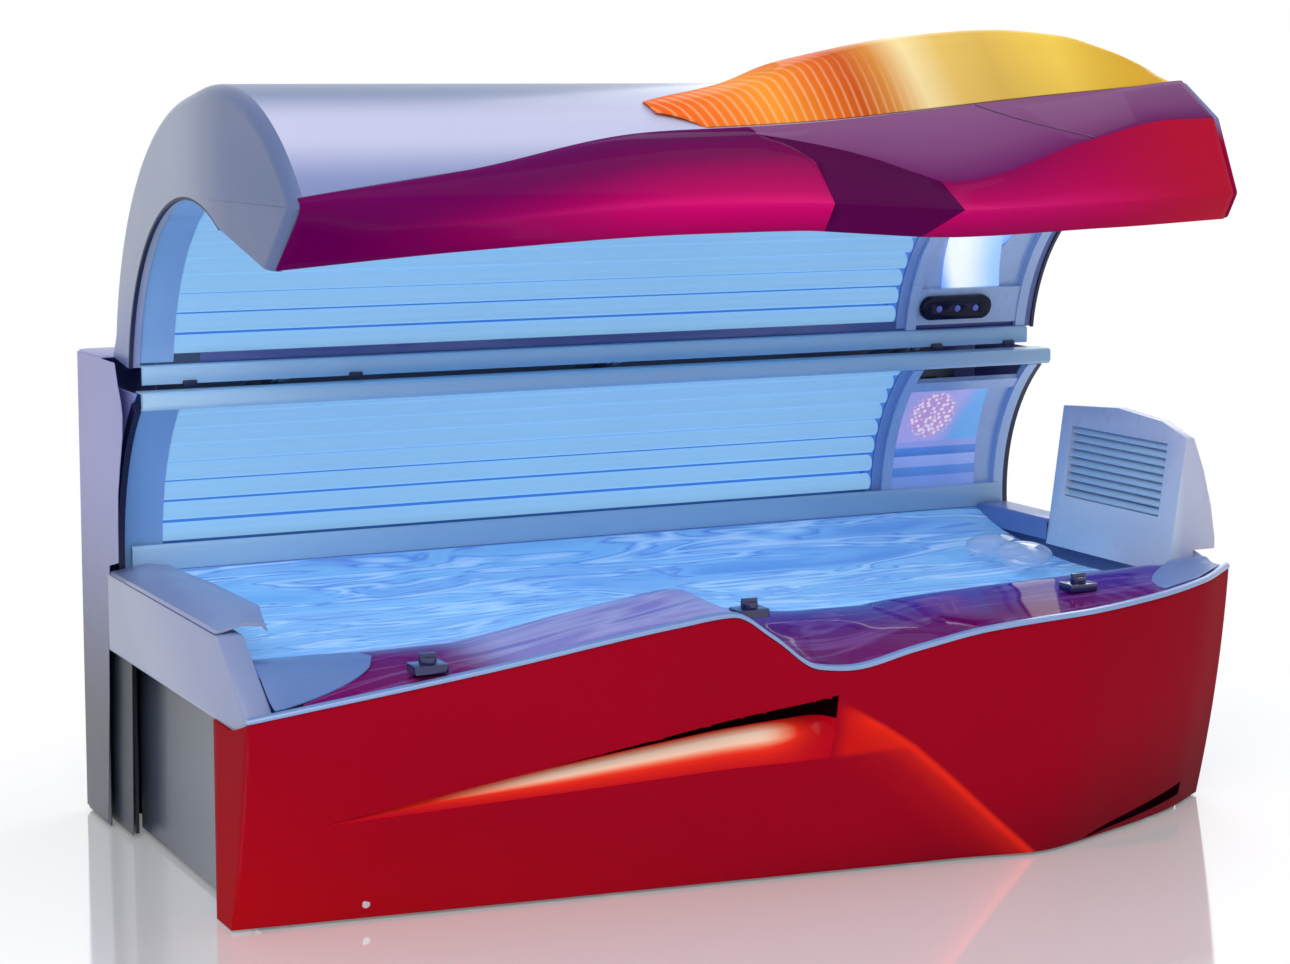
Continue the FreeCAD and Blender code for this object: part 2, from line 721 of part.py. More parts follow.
def makeColumnCap():
    # lid over the back wall; the hinges and the canopy arms stand in front of it
    width = 2 * (benchHalf - 4 - size("columnWidth"))
    top = size("columnHeight")
    rear = size("columnBack")
    body = newBody("column_cap", (-width / 2, 0, 0))
    sketch = newSketch(body, "YZ_Plane")
    drawPolygon(sketch, [(rear - 26.5, top - 3), (rear - 26.5, top - 60), (rear - 4, top - 60),
                         (rear - 4, top - 22), (rear - 22, top), (530, top), (530, top - 3)])
    pad(body, sketch, width)


def makeLowerRail():
    # aluminium extrusions along the top and the foot of the lower back
    reach = half - 6 - size("seat")
    body = newBody("lower_rail", (-reach, 0, 0))
    front = size("railFront")
    low = size("railBottom")
    high = size("railTop")
    depth = size("railDepth")
    sketch = newSketch(body, "YZ_Plane")
    drawPolygon(sketch, [(front + 6, low), (front, low + 8), (front, high - 6), (front + 6, high),
                         (front + depth, high), (front + depth, high - 4), (front + 22, high - 4),
                         (front + 22, low)])
    pad(body, sketch, 2 * reach)
    foot = size("benchHeight") - 2 + size("seat")
    head = size("stripTop")
    wall = size("stripWall")
    near = size("benchBack") + 6.5
    far = back[0] + math.sqrt(size("backRadius") ** 2 - (head - back[1]) ** 2) - size("seat") - 3.6
    strip = newSketch(body, "YZ_Plane", 20)
    drawPolygon(strip, [(near, foot), (near, head - 6), (near + 4, head), (far, head),
                        (far, head - wall), (near + wall + 2, head - wall),
                        (near + wall, head - 8), (near + wall, foot)])
    pad(body, strip, 2 * reach - 40)


def arcPanel(label, centre, inner, outer, start, end, spans, x0=0.0):
    # curved sheet, one stretch for each (left, right) span
    body = newBody(label, (0, centre[0], centre[1]))
    for left, right in spans:
        sketch = newSketch(body, "YZ_Plane", left)
        drawBand(sketch, (0, 0), inner, outer, start, end)
        pad(body, sketch, right - left)
    return body


def lampSet(label, centre, ring, start, pitch, count):
    body = newBody(label, (size("lampLeft"), centre[0], centre[1]))
    sketch = newSketch(body, "YZ_Plane")
    place = onCircle((0, 0), ring, start)
    geometry = sketch.addGeometry(
        Part.Circle(point(*place), FreeCAD.Vector(0, 0, 1), size("lampDiameter") / 2), False)
    constraint = sketch.addConstraint(
        Sketcher.Constraint("Diameter", geometry, size("lampDiameter")))
    sketch.setExpression("Constraints[%d]" % constraint, "Sizes.lampDiameter")
    sketch.addGeometry(Part.Circle(point(*place), FreeCAD.Vector(0, 0, 1),
                                   size("lampDiameter") / 2 - size("lampWall")), False)
    tube = pad(body, sketch, size("lampLength"), "Sizes.lampLength")
    polarPattern(body, tube, "X_Axis", pitch * (count - 1), count)


def tannerFrame(label, centre, radius, start, end, left, right, bars, mouths, mouthX, mouthRadius):
    # curved mullions and bars round the high-pressure lamps, with a pierced back plate
    def bend(inner, outer, a, b, x0, x1):
        outerRod = rodAt((x0, centre[0], centre[1]), (x1, centre[0], centre[1]), outer)
        innerRod = rodAt((x0 - 1, centre[0], centre[1]), (x1 + 1, centre[0], centre[1]), inner)
        fan = [centre]
        steps = max(int((b - a) / 40) + 1, 1)
        for index in range(steps + 1):
            fan.append(onCircle(centre, outer * 1.4, a + (b - a) * index / steps))
        wire = Part.makePolygon([FreeCAD.Vector(x0, u, v) for u, v in fan + fan[:1]])
        wedge = Part.Face(wire).extrude(FreeCAD.Vector(x1 - x0, 0, 0))
        return outerRod.cut(innerRod).common(wedge)
    members = [bend(radius - 3, radius + 14, start, end, left, left + 26),
               bend(radius - 3, radius + 14, start, end, right - 26, right)]
    for a, b in bars:
        members.append(bend(radius, radius + 12, a, b, left + 25, right - 25))
    plate = bend(radius + 12, radius + 14, bars[0][0], bars[-1][1], left + 25, right - 25)
    for angle in mouths:
        plate = plate.cut(rodAt(radial(centre, radius - 20, angle, mouthX),
                                radial(centre, radius + 40, angle, mouthX), mouthRadius))
    members.append(plate)
    keepShape(label, fused(members))


def makeLowerBack():
    radius = size("backRadius")
    start = size("backStart")
    end = size("backEnd")
    lampRight = size("lampLeft") + size("lampLength")
    holder = size("holderWidth")
    seat = size("seat")
    left = -half + 14
    right = half - 14
    tannerLeft = lampRight + holder + 2 + seat
    arcPanel("back_reflector", back, radius + reflectorIn, radius + reflectorOut,
             start, end - 2.5, [(left + 2, tannerLeft + 20)])
    pitch = math.degrees(size("lampPitch") / (radius + lampOut))
    count = int(size("backLamps"))
    first = start + 12.5
    lampSet("back_lamps", back, radius + lampOut, first, pitch, count)
    depth = size("holderDepth") / 2
    arcPanel("back_lamp_holders", back, radius + lampOut - depth, radius + reflectorIn - seat,
             first - 3, first + pitch * (count - 1) + 2,
             [(size("lampLeft") - holder, size("lampLeft")), (lampRight, lampRight + holder + 2)])
    arcPanel("back_shield", back, radius, radius + shieldWall, start, end - 0.7,
             [(left, lampRight + holder + 2)])
    cover = radius + coverIn
    arcPanel("back_holder_covers", back, cover, cover + size("coverWall"), start + 1, end - 2,
             [(left, size("lampLeft") - 2), (lampRight + 2, lampRight + holder + 2)])
    arcPanel("back_edge_gaskets", back, radius - 2, radius + 24, start - 1, end - 1.2,
             [(-half, left - seat), (right + seat, half)])
    tannerFrame("shoulder_frame", back, radius, start, end - 0.9, tannerLeft, right,
                [(start + 6, start + 10), (end - 12, end - 8)], [17],
                *tannerPlace(right, 4))


def tannerPlace(right, rim=0.0):
    # middle of the window beside the long lamps and the radius of the bowl in it, less its rim
    left = size("lampLeft") + size("lampLength") + size("holderWidth") + 2 + size("seat")
    return (left + right) / 2, (right - left) / 2 * size("tannerShare") - rim


def dish(radius, depth, wall, mouth, axis):
    # open round bowl of spun sheet with its mouth at the origin, opening along -axis
    share = ((1, 0), (0.9, 0.3), (0.66, 0.68), (0.34, 0.92), (0, 1))
    outer = [(radius * a, depth * b) for a, b in share]
    inner = [((radius - wall) * a, (depth - wall) * b) for a, b in share]
    outline = [FreeCAD.Vector(a, 0, b) for a, b in outer + inner[::-1]]
    profile = Part.Face(Part.makePolygon(outline + outline[:1]))
    bowl = profile.revolve(FreeCAD.Vector(0, 0, 0), FreeCAD.Vector(0, 0, 1), 360)
    turn = FreeCAD.Rotation(FreeCAD.Vector(0, 0, 1), FreeCAD.Vector(*axis))
    bowl.Placement = FreeCAD.Placement(FreeCAD.Vector(*mouth), turn)
    return bowl


def radial(centre, radius, angle, x):
    y, z = onCircle(centre, radius, angle)
    return (x, y, z)


def makeShoulderTanner():
    radius = size("backRadius")
    turn = math.radians(17)
    outward = (0, math.cos(turn), math.sin(turn))
    x, wide = tannerPlace(half - 14)
    mouth = radial(back, radius + 14 + size("seat"), 17, x)
    bowl = Part.makeCompound([dish(wide, 60, 2.5, mouth, outward)])
    start = radial(back, radius + 40, 17, x - wide - 8)
    end = radial(back, radius + 40, 17, x + wide + 8)
    keepShape("shoulder_reflector", bowl.cut(rodAt(start, end, 9 + size("seat"))))
    keepShape("shoulder_burner", rodAt(start, end, 9))


def benchStation(x):
    # top face of the lying surface from the back to the front trim
    _, yTop, zTop = blendTable(panelTable, x)
    rear = size("benchHeight")
    humps = [(-0.895, 0, 0), (-0.614, 0, 4), (-0.2895, 18, 26), (-0.1886, 20, 30),
             (-0.0351, 10, 10), (0.1053, 0, 0), (0.614, 0, 0), (0.912, 6, 8)]
    lift, frontLift = blendTable(humps, x / benchHalf)
    front = yTop - 3 + size("trimDepth") + size("seat")
    zFront = zTop + size("trimHeight") - 1
    knee = (-318, max(zFront, 496 + frontLift) + 4)
    return [(size("benchBack") - 4, rear - 2), (360, rear - 34), (200, 486 + lift),
            (20, 474 + lift), (-170, 480 + lift + frontLift * 0.5), knee,
            ((knee[0] + front) / 2, (knee[1] + zFront) / 2 + 2), (front, zFront)]


benchSteps = 4


def benchLine(x):
    # the same face as a run of short straight lines
    curve = curveThrough(benchStation(x))
    total = benchSteps * (len(benchStation(x)) - 1)
    run = [curve.value(step / benchSteps) for step in range(total + 1)]
    return [(v.x, v.y) for v in run]


def makeBenchAcrylic():
    skinLoft("bench_acrylic", benchStations(), size("acrylicWall"), straight=True)


def makeBench():
    wall = size("tubWall")
    floor = size("tubFloor")
    front = size("tubFront")
    rear = size("benchBack") + 3 + size("seat")
    lip = size("benchHeight") - 2
    left = -benchHalf + 108
    body = newBody("bench_tub", (left, 0, 0))
    sketch = newSketch(body, "YZ_Plane")
    drawPolygon(sketch, [(front - 30, 462), (front, 462), (front, floor), (rear, floor),
                         (rear, lip), (rear + wall, lip), (rear + wall, floor - wall),
                         (front - wall, floor - wall), (front - wall, 462 - wall),
                         (front - 30, 462 - wall)])
    pad(body, sketch, size("headLeft") - 12 - left)
    count = int(size("benchLamps"))
    radius = size("lampDiameter") / 2
    first = front + 38
    pitch = (rear - 30 - first) / (count - 1)
    z = floor + radius + 4
    lamps = newBody("bench_lamps", (size("benchLampLeft"), 0, z))
    ring = newSketch(lamps, "YZ_Plane")
    geometry = ring.addGeometry(Part.Circle(point(first, 0), FreeCAD.Vector(0, 0, 1), radius), False)
    constraint = ring.addConstraint(Sketcher.Constraint("Diameter", geometry, 2 * radius))
    ring.setExpression("Constraints[%d]" % constraint, "Sizes.lampDiameter")
    ring.addGeometry(Part.Circle(point(first, 0), FreeCAD.Vector(0, 0, 1),
                                 radius - size("lampWall")), False)
    tube = pad(lamps, ring, size("benchLampLength"), "Sizes.benchLampLength")
    linearPattern(lamps, tube, "Y_Axis", pitch * (count - 1), count)
    holder = size("holderWidth")
    left = size("benchLampLeft")
    right = left + size("benchLampLength")
    keepShape("bench_lamp_holders", Part.makeCompound([
        boxAt(left - holder, left, first - 24, rear - 8, floor, z + 14),
        boxAt(right, right + holder, first - 24, rear - 8, floor, z + 14)]))


def makePillow():
    # clear bolster for the neck with three ribs
    x, y, half = benchHalf - 290, 60, 130
    bars = []
    for offset, radius in ((-46, 30), (4, 24), (44, 18)):
        z = max(benchSurface(x + offset + radius * across, y + half * along)
                + radius * math.sqrt(1 - across ** 2)
                for across in (-0.8, -0.4, 0, 0.4, 0.8) for along in (-1, -0.5, 0, 0.5, 1))
        z = z + size("seat")
        bars.append(rodAt((x + offset, y - half, z), (x + offset, y + half, z), radius))
    keepShape("neck_pillow", fused(bars))


def latchSpot(index):
    # the catches stand on the highest point of the acrylic beneath them
    x, y = ((-0.698, -478), (-0.114, -500), (0.5825, -470))[index]
    x = x * benchHalf
    corners = [benchSurface(x + dx, y + dy) for dx in (-34, -17, 0, 17, 34)
               for dy in (-26, -13, 0, 13, 26)]
    return x, y, max(corners) + size("seat")


def makeLatches():
    # turn-button catches at the edge of the acrylic: a block and a knob on its stud
    bases = []
    radius = size("latchRadius")
    rise = size("latchHeight")
    for index in range(3):
        x, y, z = latchSpot(index)
        block = boxAt(x - 34, x + 34, y - 26, y + 26, z, z + rise)
        edges = [e for e in block.Edges if e.BoundBox.ZLength > rise - 0.1]
        block = block.makeFillet(7, edges)
        stud = rodAt((x, y, z + rise), (x, y, z + rise + 12), 4)
        bases.append(block.fuse(stud))
        seat = z + rise + size("latchClearance")
        knob = Part.makeCylinder(radius, 12, FreeCAD.Vector(0, 0, 0))
        grip = boxAt(-radius * 0.95, radius * 0.95, -4, 4, 8, 19)
        bore = Part.makeCylinder(4 + size("pinClearance"), 12.2, FreeCAD.Vector(0, 0, -0.2))
        knob = knob.fuse(grip).cut(bore)
        keepShape("latch_knob_%d" % (index + 1), knob, (x, y, seat))
    keepShape("latch_blocks", Part.makeCompound(bases))


def makeHinges():
    # fixed plates behind the rail, one pin each; the canopy arms run beside them
    y = size("hingeY")
    z = size("hingeZ")
    eye = size("eyeRadius")
    width = size("eyeWidth")
    pin = size("pinRadius")
    gap = size("sideClearance")
    rear = size("frameBack")
    top = size("railBottom") - 12
    plates = []
    pins = []
    for x in (-size("hingeSpacing"), 0, size("hingeSpacing")):
        for side in (-1, 1):
            middle = x + side * (width + gap)
            outline = [(y - eye, z), (y, z - eye), (y + 60, z - eye), (rear, top - 50),
                       (rear, top), (rear + 40, top), (rear + 40, top + 6), (rear - 20, top + 30),
                       (y + 14, z + eye), (y, z + eye)]
            wire = Part.makePolygon([FreeCAD.Vector(middle - width / 2, a, b)
                                     for a, b in outline + outline[:1]])
            plate = Part.Face(wire).extrude(FreeCAD.Vector(width, 0, 0))
            bore = rodAt((middle - width, y, z), (middle + width, y, z), pin)
            plates.append(plate.cut(bore))
        pins.append(rodAt((x - 1.5 * width - gap - 6, y, z), (x + 1.5 * width + gap + 6, y, z), pin))
    keepShape("hinge_brackets", Part.makeCompound(plates))
    keepShape("hinge_pins", Part.makeCompound(pins))


def makeElectrics():
    low = size("footTravel") + size("tubeHeight") + size("panWall")
    blocks = []
    for row in range(3):
        for column in range(8):
            x = -900 + column * 210
            y = -150 + row * 220
            blocks.append(boxAt(x, x + 150, y, y + 66, low, low + 58))
    cover = boxAt(830, 960, -100, 380, low, low + 180)
    blocks.append(cover.cut(boxAt(833, 957, -97, 377, low - 1, low + 177)))
    keepShape("ballasts", Part.makeCompound(blocks))
    rear = size("columnBack") - 27
    gland = rodAt((-880, rear - 0, 120), (-880, rear + 22, 120), 14)
    nut = rodAt((-880, rear, 120), (-880, rear + 6, 120), 20)
    bore = rodAt((-880, rear - 5, 120), (-880, rear + 30, 120), 7)
    keepShape("mains_inlet", gland.fuse(nut).cut(bore))


def makeFan():
    x = 500
    z = 640
    y = size("columnBack") - 30
    radius = size("fanRadius")
    depth = size("fanDepth")
    ring = rodAt((x, y - depth - 6, z), (x, y, z), radius + 8)
    ring = ring.cut(rodAt((x, y - depth - 7, z), (x, y + 1, z), radius))
    hub = rodAt((x, y - 4, z), (x, y, z), 26)
    axle = rodAt((x, y - depth, z), (x, y - 4, z), 3)
    arms = [hub, axle]
    for angle in (45, 135, 225, 315):
        turn = math.radians(angle)
        arm = boxAt(20, radius + 3, -4, 4, -4, 0)
        arm.Placement = FreeCAD.Placement(
            FreeCAD.Vector(x, y, z),
            FreeCAD.Rotation(FreeCAD.Vector(0, 1, 0), angle).multiply(
                FreeCAD.Rotation(FreeCAD.Vector(1, 0, 0), -90)))
        arms.append(arm)
    keepShape("fan_housing", fused([ring] + arms))
    hubRotor = rodAt((0, -depth + 2, 0), (0, -6, 0), 24)
    hubRotor = hubRotor.cut(rodAt((0, -depth, 0), (0, 0, 0), 3 + size("pinClearance")))
    blades = [hubRotor]
    count = int(size("fanBlades"))
    for index in range(count):
        blade = boxAt(20, radius - size("fanGap"), -16, 16, -1, 1)
        lean = FreeCAD.Rotation(FreeCAD.Vector(1, 0, 0), 52)
        spin = FreeCAD.Rotation(FreeCAD.Vector(0, 1, 0), 360.0 * index / count)
        blade.Placement = FreeCAD.Placement(FreeCAD.Vector(0, -depth / 2 - 2, 0), FreeCAD.Rotation())
        blade.Placement = FreeCAD.Placement(
            FreeCAD.Vector(0, -depth / 2 - 2, 0), spin.multiply(lean))
        blades.append(blade)
    keepShape("fan_rotor", fused(blades), (x, y, z))


# ---- canopy -----------------------------------------------------------------------------

def shellOutline(sketch, shrink=0.0):
    # outer skin from the rear foot over the top to the front, then back along the inside
    top = shellTop()
    rearRadius = size("shellRearRadius") - shrink
    frontRadius = size("shellFrontRadius") - shrink
    drawArc(sketch, shellRear, rearRadius, 5.0, top)
    drawLine(sketch, onCircle(shellRear, rearRadius, top), onCircle(shellFront, frontRadius, top))
    drawArc(sketch, shellFront, frontRadius, top, 141.0)
    return onCircle(shellRear, rearRadius, 5.0), onCircle(shellFront, frontRadius, 141.0)


def makeShell():
    body = newBody("canopy_shell", (0, 0, 0))
    start = -half + size("endCapWall")
    sketch = newSketch(body, "YZ_Plane", start)
    outerEnds = shellOutline(sketch)
    innerEnds = shellOutline(sketch, size("shellWall"))
    drawLine(sketch, outerEnds[0], innerEnds[0])
    drawLine(sketch, outerEnds[1], innerEnds[1])
    pad(body, sketch, 2 * (half - size("endCapWall")),
        "Sizes.canopyLength - 2 * Sizes.endCapWall")
    doc.recompute()
    # the visor takes over along this line
    plan = newSketch(body, "XY_Plane", 1200)
    line = [(row[0], row[1] + size("visorWall") + 2 * size("seat")) for row in visorTable]
    drawPolygon(plan, [(-half - 5, line[0][1] - 60), (-half - 5, line[0][1])] + line
                + [(half + 5, line[-1][1]), (half + 5, line[0][1] - 60)])
    pocket(body, plan, 600, reverse=True)


def makeEndCaps():
    radius = size("archRadius")
    start = size("archStart")
    end = size("archEnd")
    for label, x, front in (
            ("canopy_end_cap_left", -half, None),
            ("canopy_end_cap_right", half - size("endCapWall"), visorTable[-1])):
        body = newBody(label)
        sketch = newSketch(body, "YZ_Plane", x)
        inner = onCircle(arch, radius, end)
        foot = onCircle(arch, radius, start)
        top = shellTop()
        drawArc(sketch, arch, radius, start, end)
        if front is None:
            first, last = shellOutline(sketch)
            drawLine(sketch, last, (-524, 1246))
            drawLine(sketch, (-524, 1246), inner)
        else:
            first = onCircle(shellRear, size("shellRearRadius"), 5.0)
            drawArc(sketch, shellRear, size("shellRearRadius"), 5.0, top)
            crest = onCircle(shellRear, size("shellRearRadius"), top)
            drawLine(sketch, crest, onCircle(shellFront, size("shellFrontRadius"), top))
            edge = visorStation(half)
            edge[0] = (edge[0][0], shellHeight(edge[0][0]))
            stop = math.degrees(math.atan2(edge[0][1] - shellFront[1], edge[0][0] - shellFront[0]))
            drawArc(sketch, shellFront, size("shellFrontRadius"), top, stop)
            run = edge + [inner]
            for a, b in zip(run, run[1:]):
                drawLine(sketch, a, b)
        drawLine(sketch, first, foot)
        pad(body, sketch, size("endCapWall"), "Sizes.endCapWall")


def visorSpan():
    # stations of the visor between the two end caps
    end = half - size("endCapWall") - size("seat")
    return [-end] + [row[0] for row in visorTable[1:-1]] + [end]


def makeVisor():
    # pressed sheet with two folds along its length
    stations = [(x, visorStation(x)) for x in visorSpan()]
    skinLoft("front_visor", stations, size("visorWall"), straight=True)


def makeSoffit():
    # sheet from the lower lip of the visor to the front of the lamp arch, and the lower bar
    inner = onCircle(arch, size("archRadius"), size("archEnd"))
    body = newBody("canopy_soffit")
    sketches = []
    for x in visorSpan():
        sketch = newSketch(body, "YZ_Plane", x)
        lip = visorStation(x)[-1]
        lip = (lip[0] + 7, lip[1] + 5)
        drawPolygon(sketch, [lip, inner, (inner[0], inner[1] + 4), (lip[0], lip[1] + 4)])
        sketches.append(sketch)
    loft = body.newObject("PartDesign::AdditiveLoft", "canopy_soffit_loft")
    loft.Profile = sketches[0]
    loft.Sections = sketches[1:]
    loft.Ruled = True
    doc.recompute()
    # extruded bar along the lower rear edge of the canopy, just in front of the hinges
    rear = size("hingeY") - size("eyeRadius") - 1
    front = rear - size("lowerBarDepth")
    low = size("lowerBarBottom")
    high = size("lowerBarTop")
    reach = visorSpan()[-1]
    # its upper flange carries the lower edge of the clear shield
    foot = size("archStart") + 0.5
    slope = math.radians(foot)
    edge = [onCircle(arch, size("archRadius") + out, foot) for out in (0, shieldWall)]
    edge = [(y + size("seat") * math.sin(slope), z - size("seat") * math.cos(slope)) for y, z in edge]
    bar = newSketch(body, "YZ_Plane", -reach)
    drawPolygon(bar, [(rear, low), (front + 2, low), (front, low + 5), (front, high - 5),
                      (front + 4, high)] + edge + [(edge[1][0], edge[1][1] - 3), (rear, high - 3)])
    pad(body, bar, 2 * reach)


def makeAmberCover():
    stations = []
    rows = [row[0] for row in amberTable]
    rows = sorted(rows + [(a + b) / 2 for a, b in zip(rows, rows[1:])])
    for x in rows:
        yRidge, rise, yBack = blendTable(amberTable, x)
        yFront = blendTable(visorTable, x)[0] + 8
        edge = size("amberWall") + 4 * size("seat")
        points = []
        for y, share in ((yBack, 0), ((yBack + yRidge) / 2 + 8, 0.62), (yRidge, 1),
                         ((yFront + yRidge) / 2 - 3, 0.66), (yFront, 0)):
            points.append((y, shellHeight(y) + edge + (rise - edge) * share))
        curve = curveThrough(points)
        steps = 12
        line = [curve.value(4.0 * step / steps) for step in range(steps + 1)]
        stations.append((x, [(v.x, max(v.y, shellHeight(v.x) + edge)) for v in line]))
    skinLoft("amber_cover", stations, size("amberWall"), straight=True)


def makeCanopyFrame():
    # ribs cut from plate between the reflector and the shell, tied by two tubes, with the
    # arms that carry the hinge eyes
    radius = size("archRadius") + reflectorOut + size("seat")
    spacing = size("hingeSpacing")
    width = size("eyeWidth")
    gap = size("pinClearance")
    y = size("hingeY")
    z = size("hingeZ")
    members = []
    for x in (-spacing, 0, spacing):
        ring = Part.makeCylinder(radius + 40, width, FreeCAD.Vector(x - width / 2, arch[0], arch[1]),
                                 FreeCAD.Vector(1, 0, 0))
        ring = ring.cut(Part.makeCylinder(radius, width + 2,
                                          FreeCAD.Vector(x - width / 2 - 1, arch[0], arch[1]),
                                          FreeCAD.Vector(1, 0, 0)))
        keep = Part.makePolygon([FreeCAD.Vector(x - width, a, b) for a, b in (
            arch, (arch[0] + 900, arch[1] + 110), (arch[0] + 900, arch[1] + 900),
            (arch[0] - 380, arch[1] + 900), arch)])
        ring = ring.common(Part.Face(keep).extrude(FreeCAD.Vector(2 * width, 0, 0)))
        eyeRing = rodAt((x - width / 2, y, z), (x + width / 2, y, z), size("eyeRadius"))
        arm = Part.makePolygon([FreeCAD.Vector(x - width / 2, a, b) for a, b in (
            (y - 6, z + 16), (y + 8, z - 16), (y + 84, z + 14), (y + 86, z + 60),
            (y + 64, z + 70), (y - 6, z + 16))])
        arm = Part.Face(arm).extrude(FreeCAD.Vector(width, 0, 0))
        bore = rodAt((x - width, y, z), (x + width, y, z), size("pinRadius") + gap)
        members.append(ring.fuse(eyeRing).fuse(arm).cut(bore))
    reach = half - size("endCapWall") - size("seat")
    for angle in (22, 70, 108):
        a, b = onCircle(arch, radius + 22, angle)
        members.append(rodAt((-reach, a, b), (reach, a, b), 12))
    keepShape("canopy_frame", fused(members))


def makeCanopyTunnel():
    radius = size("archRadius")
    start = size("archStart")
    end = size("archEnd")
    seat = size("seat")
    left = -half + size("endCapWall") + seat
    right = half - size("endCapWall") - seat
    lampRight = size("lampLeft") + size("lampLength")
    holder = size("holderWidth")
    tannerLeft = lampRight + holder + 2 + seat
    arcPanel("canopy_reflector", arch, radius + reflectorIn, radius + reflectorOut,
             start + 3, end - 1, [(left, tannerLeft + 20)])
    pitch = math.degrees(size("lampPitch") / (radius + lampOut))
    count = int(size("canopyLamps"))
    first = start + 5
    lampSet("canopy_lamps", arch, radius + lampOut, first, pitch, count)
    depth = size("holderDepth") / 2
    arcPanel("canopy_lamp_holders", arch, radius + lampOut - depth, radius + reflectorIn - seat,
             first - 3, first + pitch * (count - 1) + 2,
             [(size("lampLeft") - holder, size("lampLeft")), (lampRight, lampRight + holder + 2)])
    arcPanel("canopy_shield", arch, radius, radius + shieldWall, start + 0.5, end - 0.5,
             [(left, lampRight + holder + 2)])
    cover = radius + coverIn
    arcPanel("canopy_holder_covers", arch, cover, cover + size("coverWall"), start + 1, end - 1,
             [(left, size("lampLeft") - 2), (lampRight + 2, lampRight + holder + 2)])
    arcPanel("arch_gaskets", arch, radius - 5, radius - seat, start, end,
             [(-half + 1, -half + 9), (half - 9, half - 1)])
    tannerFrame("facial_frame", arch, radius, start + 0.5, end - 0.5, tannerLeft, right,
                [(start + 2, start + 14), (start + 54, start + 57), (end - 8, end - 5)],
                [42, 84], *tannerPlace(right, 4))


def makeFacialTanner():
    radius = size("archRadius")
    bowls = []
    burners = []
    x, wide = tannerPlace(half - size("endCapWall") - size("seat"))
    for angle in (42, 84):
        turn = math.radians(angle)
        outward = (0, math.cos(turn), math.sin(turn))
        mouth = radial(arch, radius + 14 + size("seat"), angle, x)
        start = radial(arch, radius + 36, angle, x - wide - 6)
        end = radial(arch, radius + 36, angle, x + wide + 6)
        bowl = Part.makeCompound([dish(wide, 50, 2.5, mouth, outward)])
        bowls.append(bowl.cut(rodAt(start, end, 8 + size("seat"))))
        burners.append(rodAt(start, end, 8))
    keepShape("facial_reflectors", Part.makeCompound(bowls))
    keepShape("facial_burners", Part.makeCompound(burners))


def makeControls():
    # panel low on the arch at the head end, with round push buttons
    radius = size("archRadius")
    angle = size("archStart") + 8
    turn = FreeCAD.Rotation(FreeCAD.Vector(1, 0, 0), angle)
    middle, _ = tannerPlace(half - size("endCapWall") - size("seat"))
    centre = radial(arch, radius, angle, middle - 40)
    # flat back of the panel just clear of the curved bar behind it
    tall, thick = 56, 15
    behind = radius - math.sqrt(radius ** 2 - (tall / 2) ** 2) + size("seat")
    face = -behind - thick
    panel = Part.makeBox(190, thick, tall, FreeCAD.Vector(-95, face, -tall / 2))
    edges = [e for e in panel.Edges if e.BoundBox.YLength > 14]
    panel = panel.makeFillet(26, edges)
    travel = size("buttonTravel")
    bore = size("buttonRadius") + size("buttonGap")
    depth = 8
    names = ("button_start", "button_fan", "button_face")
    for index, name in enumerate(names):
        u = -50 + 50 * index
        panel = panel.cut(Part.makeCylinder(bore, depth + 1, FreeCAD.Vector(u, face - 1, 0),
                                            FreeCAD.Vector(0, 1, 0)))
    keepShape("control_panel", panel, centre, angle)
    for index, name in enumerate(names):
        u = -50 + 50 * index
        button = Part.makeCylinder(size("buttonRadius"), depth + 2 - travel - 0.4,
                                   FreeCAD.Vector(0, 0, 0), FreeCAD.Vector(0, 1, 0))
        offset = turn.multVec(FreeCAD.Vector(u, face - 2, 0))
        keepShape(name, button, (centre[0] + offset.x, centre[1] + offset.y, centre[2] + offset.z),
                  angle)


makeBaseFrame()
makeFeet()
makeFrontPanel()
makeScoop()
makeTrim()
makeSidePanels()
makeEndBands()
makeFootCover()
makeCornerCovers()
makeHeadHousing()
makeLouvres()
makeRearCheeks()
makeCheekStrips()
makeRearPanel()
makeColumnCap()
makeLowerRail()
makeLowerBack()
makeShoulderTanner()
makeBenchAcrylic()
makeBench()
makePillow()
makeLatches()
makeHinges()
makeElectrics()
makeFan()
makeShell()
makeEndCaps()
makeVisor()
makeSoffit()
makeAmberCover()
makeCanopyFrame()
makeCanopyTunnel()
makeFacialTanner()
makeControls()

doc.recompute()
# the origin is moved to the middle of the floor under the whole piece
hull = FreeCAD.BoundBox()
for node in nodes:
    hull.add(node.Shape.optimalBoundingBox(False, False))
shift = FreeCAD.Vector(-round(hull.Center.x, 1), -round(hull.Center.y, 1), -round(hull.ZMin, 3))
for node in nodes:
    node.Placement.Base = node.Placement.Base + shift
doc.recompute()
print("shift", shift)
for item in doc.Objects:
    if "Invalid" in item.State or "Error" in item.State:
        raise ValueError("%s: %s" % (item.Label, item.State))
os.makedirs("parts", exist_ok=True)
for node in nodes:
    if node.Shape.isNull() or not node.Shape.isValid():
        raise ValueError(node.Label + " has no valid shape")
    node.Shape.exportStep("parts/%s.step" % node.Label)
print(len(nodes), "sub-parts written")
